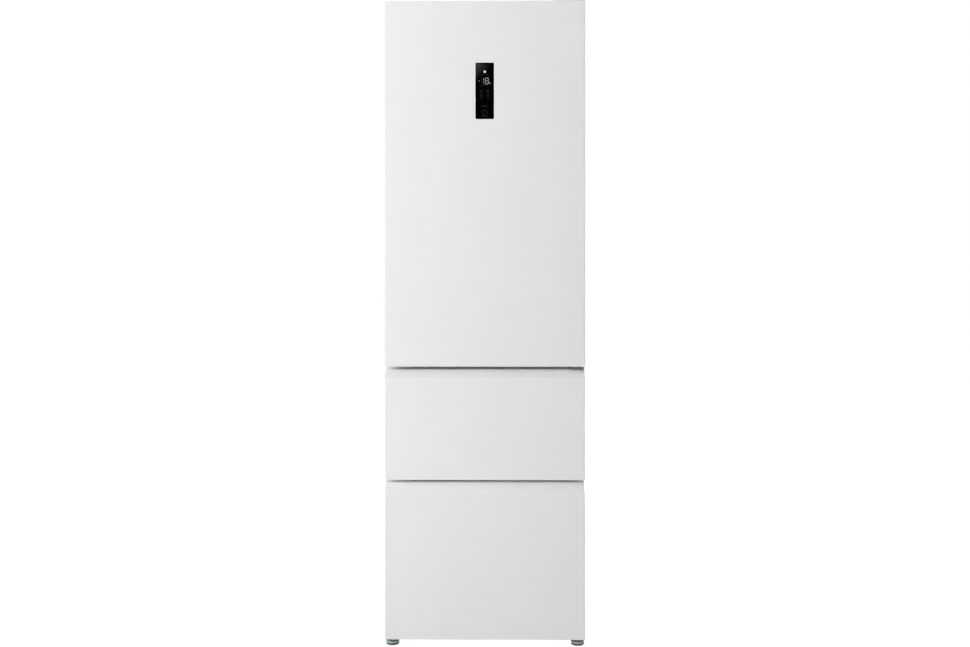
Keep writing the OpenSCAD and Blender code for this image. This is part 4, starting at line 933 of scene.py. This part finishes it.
# %% Carry it round the openings
SEALS = (("door_seal", "door"), ("middle_seal", "middle_drawer"), ("lower_seal", "lower_drawer"))
for node, body in SEALS:
    low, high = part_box(node)
    seal = grow(node + "_bellows", seal_path(low, high, SEAL_HALF[0][0] / 1000), sweep,
                {"Profile": profile, "Finish": seal_rubber}, body, (node,))
    spans = [[v.co[i] for v in seal.data.vertices] for i in range(3)]
    new_box = [min(span) for span in spans] + [max(span) for span in spans]
    print(node, "box moved by", [round((a - b) * 1000, 2) for a, b in zip(new_box, [*low, *high])])

# %% [markdown]
# ## Louvres
# The cover of the machine bay has a hood pressed over each slot, open at its lower edge, so that dust
# falls past it. A hood is a thin shell: rows of points form its outer skin, and a second skin is shifted
# inwards by the sheet's thickness.

# %% A hood
def rim_of(skin):
    """The vertices round the edge of a grid of vertices."""
    right = [row[-1] for row in skin[1:-1]]
    left = [row[0] for row in skin[-2:0:-1]]
    return skin[0] + right + skin[-1][::-1] + left


def shell(name, rows, facing, thickness):
    """A strip of quads through rows of points, with a second skin behind it and closed edges."""
    build = bmesh.new()
    shift = Vector(facing) * thickness
    outer = [[build.verts.new(Vector(p)) for p in row] for row in rows]
    inner = [[build.verts.new(Vector(p) - shift) for p in row] for row in rows]
    for skin in (outer, inner):
        for a, b in zip(skin, skin[1:]):
            for i in range(len(a) - 1):
                build.faces.new((a[i], a[i + 1], b[i + 1], b[i]))
    bridge(build, rim_of(outer), rim_of(inner))
    return finish_shape(build, name)


HOOD_HALF = 0.0485
HOOD_TOP = 0.0052
HOOD_DROP = 0.0066
HOOD_DEPTH = 0.0042
HOOD_SHEET = 0.0009
HOOD_FACING = (0.0, 1.0, 0.35)
# Share of the half length, and share of the depth there
HOOD_ENDS = [(1.0, 0.06), (0.985, 0.55), (0.95, 0.9), (0.9, 1.0)]
HOOD_BEND = [math.radians(a) for a in (0, 22, 44, 66, 90)]


def hood():
    """A quarter-round hood that tapers into the sheet at both ends."""
    sections = [(-HOOD_HALF * x, d) for x, d in HOOD_ENDS]
    sections += [(HOOD_HALF * x, d) for x, d in reversed(HOOD_ENDS)]
    rows = [[(x, HOOD_SHEET + HOOD_DEPTH * d * math.sin(a), HOOD_TOP - HOOD_DROP * (1 - math.cos(a)))
             for a in HOOD_BEND] for x, d in sections]
    return shell("hood", rows, HOOD_FACING, HOOD_SHEET)


hood_shape = hood()

# %% [markdown]
# ## Vent rims
# The vents of the air duct have a raised rim from the mould. A rim is five loops, each a rectangle with
# rounded corners, bridged into a closed band that stands just proud of the duct.

# %% A vent rim
RIM_HALF = (0.0245, 0.0052)
RIM_WIDTH = 0.0022
RIM_PROUD = 0.0009
RIM_SUNK = 0.0002
RIM_CORNER = 0.003
RIM_BEVEL = 0.0006
RIM_LIP = 0.0005
# Distance from the outline, and place along Y
RIM_LOOPS = [(0.0, RIM_SUNK), (0.0, -RIM_PROUD * 0.6), (RIM_BEVEL, -RIM_PROUD),
             (RIM_WIDTH - RIM_LIP, -RIM_PROUD), (RIM_WIDTH, RIM_SUNK)]
# The sides that meet in a corner, and the angle at which its arc starts
CORNERS = ((1, -1, -90), (1, 1, 0), (-1, 1, 90), (-1, -1, 180))


def vent_rim():
    """A flat frame with rounded ends round one vent, facing the front."""
    build = bmesh.new()
    loops = []
    for inset, y in RIM_LOOPS:
        half_x, half_z = RIM_HALF[0] - inset, RIM_HALF[1] - inset
        radius = min(half_z, RIM_CORNER)
        loop = []
        for sx, sz, first in CORNERS:
            for step in range(4):
                x, z = on_circle(sx * (half_x - radius), sz * (half_z - radius), radius,
                                 math.radians(first + 30 * step))
                loop.append(build.verts.new((x, y, z)))
        loops.append(loop)
    for a, b in zip(loops, loops[1:] + loops[:1]):
        bridge(build, a, b)
    return finish_shape(build, "vent_rim")


rim_shape = vent_rim()

# %% [markdown]
# ## Lens ribs
# The ceiling light has fine ribs that spread its light. A rib is a half-round bar with sloped ends, so
# its section shrinks towards both.

# %% A lens rib
LENS_RIB_HALF = 0.0012
LENS_RIB_LONG = 0.044
LENS_RIB_SUNK = 0.0001
LENS_RIB_FLAT = 0.8
# Share of the length, and size of the section there
LENS_RIB_ENDS = [(-0.5, 0.25), (-0.47, 0.85), (0.0, 1.0), (0.47, 0.85), (0.5, 0.25)]
LENS_RIB_ARC = [math.radians(180 + 36 * i) for i in range(6)]


def lens_rib():
    """A low half-round rib with sloped ends, along Y, which hangs from Z = 0."""
    build = bmesh.new()
    rows = [[build.verts.new((LENS_RIB_HALF * math.cos(a), y * LENS_RIB_LONG,
                              LENS_RIB_SUNK + size * LENS_RIB_HALF * LENS_RIB_FLAT * math.sin(a)))
             for a in LENS_RIB_ARC] for y, size in LENS_RIB_ENDS]
    for a, b in zip(rows, rows[1:]):
        bridge(build, a, b)
    build.faces.new(rows[0])
    build.faces.new(rows[-1][::-1])
    return finish_shape(build, "lens_rib")


rib_shape = lens_rib()

# %% [markdown]
# ## Set them out
# The louvres stand in five columns of eight, the vents in two columns of nine, and the ribs in one row
# under the light. The places follow the boxes of the parts, and the pitches are the ones that the slots
# and vents have there.

# %% Place the copies
UPRIGHT = (0.0, 0.0, 1.0)
SLOT_FIRST = 0.076
SLOT_PITCH = 0.013
SLOT_ROWS = 8
COLUMN_PITCH = 0.110
VENT_FIRST = 0.050
VENT_PITCH = 0.062
VENT_ROWS = 9
VENT_SIDE = 0.042
RIB_SPAN = 0.058
RIB_COUNT = 24


def copies(name, shape, points, finish):
    """Copies that keep the shape's own attitude."""
    return grow(name, places(points, UPRIGHT), scatter,
                {"Shape": shape, "Spin": 0.0, "Seed": 1, "Finish": finish}, "cabinet")


slots = [(column * COLUMN_PITCH, cover_high.y, SLOT_FIRST + row * SLOT_PITCH)
         for column in range(-2, 3) for row in range(SLOT_ROWS)]
copies("cover_louvres", hood_shape, slots, grained_black)

duct_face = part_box("air_duct")[0]
vents = [(side * VENT_SIDE, duct_face.y, duct_face.z + VENT_FIRST + row * VENT_PITCH)
         for side in (-1, 1) for row in range(VENT_ROWS)]
copies("duct_vent_rims", rim_shape, vents, moulded_white)

light_low, light_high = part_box("ceiling_light")
ribs = [(x, (light_low.y + light_high.y) / 2, light_low.z) for x in even(-RIB_SPAN, RIB_SPAN, RIB_COUNT)]
copies("lens_ribs", rib_shape, ribs, lens)

for helper in (head, profile, hood_shape, rim_shape, rib_shape):
    bpy.data.objects.remove(helper)
print("helpers removed")

# %% [markdown]
# ## Studio
# The photograph has a pure white ground, so the world is white to the camera, to mirrors and through
# glass. As a light it stays dim, because lamps shape the object better than a white room does.

# %% World
WORLD_LIGHT = 0.06


def seen_directly(tree):
    """1 for rays from the camera, from a mirror or through glass, and 0 for light that scatters."""
    rays = tree.nodes.new("ShaderNodeLightPath")
    total = rays.outputs["Is Camera Ray"]
    for kind in ("Is Glossy Ray", "Is Transmission Ray"):
        either = tree.nodes.new("ShaderNodeMath")
        either.operation = "MAXIMUM"
        tree.links.new(total, either.inputs[0])
        tree.links.new(rays.outputs[kind], either.inputs[1])
        total = either.outputs["Value"]
    return total


world = bpy.data.worlds.new("studio")
bpy.context.scene.world = world
world.use_nodes = True
sky = world.node_tree
backdrop = sky.nodes["Background"]
backdrop.inputs["Color"].default_value = (1.0, 1.0, 1.0, 1.0)
seen = sky.nodes.new("ShaderNodeMapRange")
seen.inputs["To Min"].default_value = WORLD_LIGHT
seen.inputs["To Max"].default_value = 1.0
sky.links.new(seen_directly(sky), seen.inputs["Value"])
sky.links.new(seen.outputs["Result"], backdrop.inputs["Strength"])
print("world:", WORLD_LIGHT)

# %% [markdown]
# The floor is a plain matt sheet. Near the object it keeps a faint shadow, and further out it fades into
# the white ground, so that no horizon shows.

# %% Floor
FLOOR_HALF = 14.0
FLOOR_LIFT = 0.62
FLOOR_WHITE = 1.48
FLOOR_NEAR = 0.7
FLOOR_FAR = 2.6
FLOOR_CLOUD = 2.0
floor_mesh = bpy.data.meshes.new("floor")
floor_mesh.from_pydata([(-FLOOR_HALF, -FLOOR_HALF, 0), (FLOOR_HALF, -FLOOR_HALF, 0),
                        (FLOOR_HALF, FLOOR_HALF, 0), (-FLOOR_HALF, FLOOR_HALF, 0)], [], [(0, 1, 2, 3)])
floor = bpy.data.objects.new("floor", floor_mesh)
bpy.context.scene.collection.objects.link(floor)
floor_finish, tree, shader, place = start_material("floor_finish")
shade(tree, noise(tree, place, FLOOR_CLOUD), (0.8, 0.8, 0.8), (0.83, 0.83, 0.83),
      shader.inputs["Base Color"])
shader.inputs["Roughness"].default_value = 0.7
distance = tree.nodes.new("ShaderNodeVectorMath")
distance.operation = "LENGTH"
tree.links.new(place, distance.inputs[0])
fade = tree.nodes.new("ShaderNodeMapRange")
fade.inputs["From Min"].default_value = FLOOR_NEAR
fade.inputs["From Max"].default_value = FLOOR_FAR
fade.inputs["To Min"].default_value = FLOOR_LIFT
tree.links.new(distance.outputs["Value"], fade.inputs["Value"])
seen_floor = tree.nodes.new("ShaderNodeMath")
seen_floor.operation = "MULTIPLY"
tree.links.new(fade.outputs["Result"], seen_floor.inputs[0])
tree.links.new(seen_directly(tree), seen_floor.inputs[1])
plain = tree.nodes.new("ShaderNodeEmission")
plain.inputs["Strength"].default_value = FLOOR_WHITE
blend = tree.nodes.new("ShaderNodeMixShader")
tree.links.new(seen_floor.outputs["Value"], blend.inputs["Fac"])
tree.links.new(shader.outputs["BSDF"], blend.inputs[1])
tree.links.new(plain.outputs["Emission"], blend.inputs[2])
tree.links.new(blend.outputs["Shader"], tree.nodes["Material Output"].inputs["Surface"])
floor_mesh.materials.append(floor_finish)
print("floor laid")

# %% [markdown]
# In the photograph the fronts are brightest at the upper left and fall off evenly to the lower right, so
# the main light stands in front, to the left, a little below the top. Weaker lamps reach into the
# grips and keep the right side, the top and the back from going dark. The window and the key light
# are hidden from mirrors, or their image would burn out the enamel of the left side.

# %% Lamps
FRONT_MIDDLE = (0.0, -0.3, 1.2)
# Name, place, target, size, watts, and whether mirrors show it
LAMPS = [
    ("window", (-4.4, -2.4, 1.75), FRONT_MIDDLE, (1.6, 1.4), 50.0, False),
    ("key", (-2.5, -3.2, 1.8), FRONT_MIDDLE, (1.5, 1.8), 88.5, False),
    ("ceiling", (0.0, -2.2, 3.6), FRONT_MIDDLE, (1.6, 1.0), 9.7, True),
    ("skylight", (-3.2, -4.2, 5.6), FRONT_MIDDLE, (2.4, 2.0), 13.5, True),
    ("top_fill", (0.0, 0.8, 4.3), (0.0, 0.2, 1.9), (2.0, 2.0), 24.0, True),
    ("right_fill", (3.6, 1.6, 2.4), (0.3, 0.1, 1.2), (1.8, 1.8), 44.0, True),
    ("back_fill", (-0.8, 4.2, 2.6), (0.0, 0.3, 1.2), (1.8, 1.8), 30.0, True),
]


def lamp(name, place, target, size, power, in_mirrors):
    """A soft rectangle of light that faces a target."""
    data = bpy.data.lights.new(name, "AREA")
    data.shape = "RECTANGLE"
    data.size, data.size_y = size
    data.energy = power
    light = bpy.data.objects.new(name, data)
    bpy.context.scene.collection.objects.link(light)
    light.location = place
    light.rotation_euler = (Vector(target) - Vector(place)).to_track_quat("-Z", "Y").to_euler()
    light.visible_glossy = in_mirrors


for row in LAMPS:
    lamp(*row)
print("lamps:", len(LAMPS))

# %% [markdown]
# ## Finish
# The view transform is set to Standard.

# %% Set the view transform
bpy.context.scene.view_settings.view_transform = "Standard"
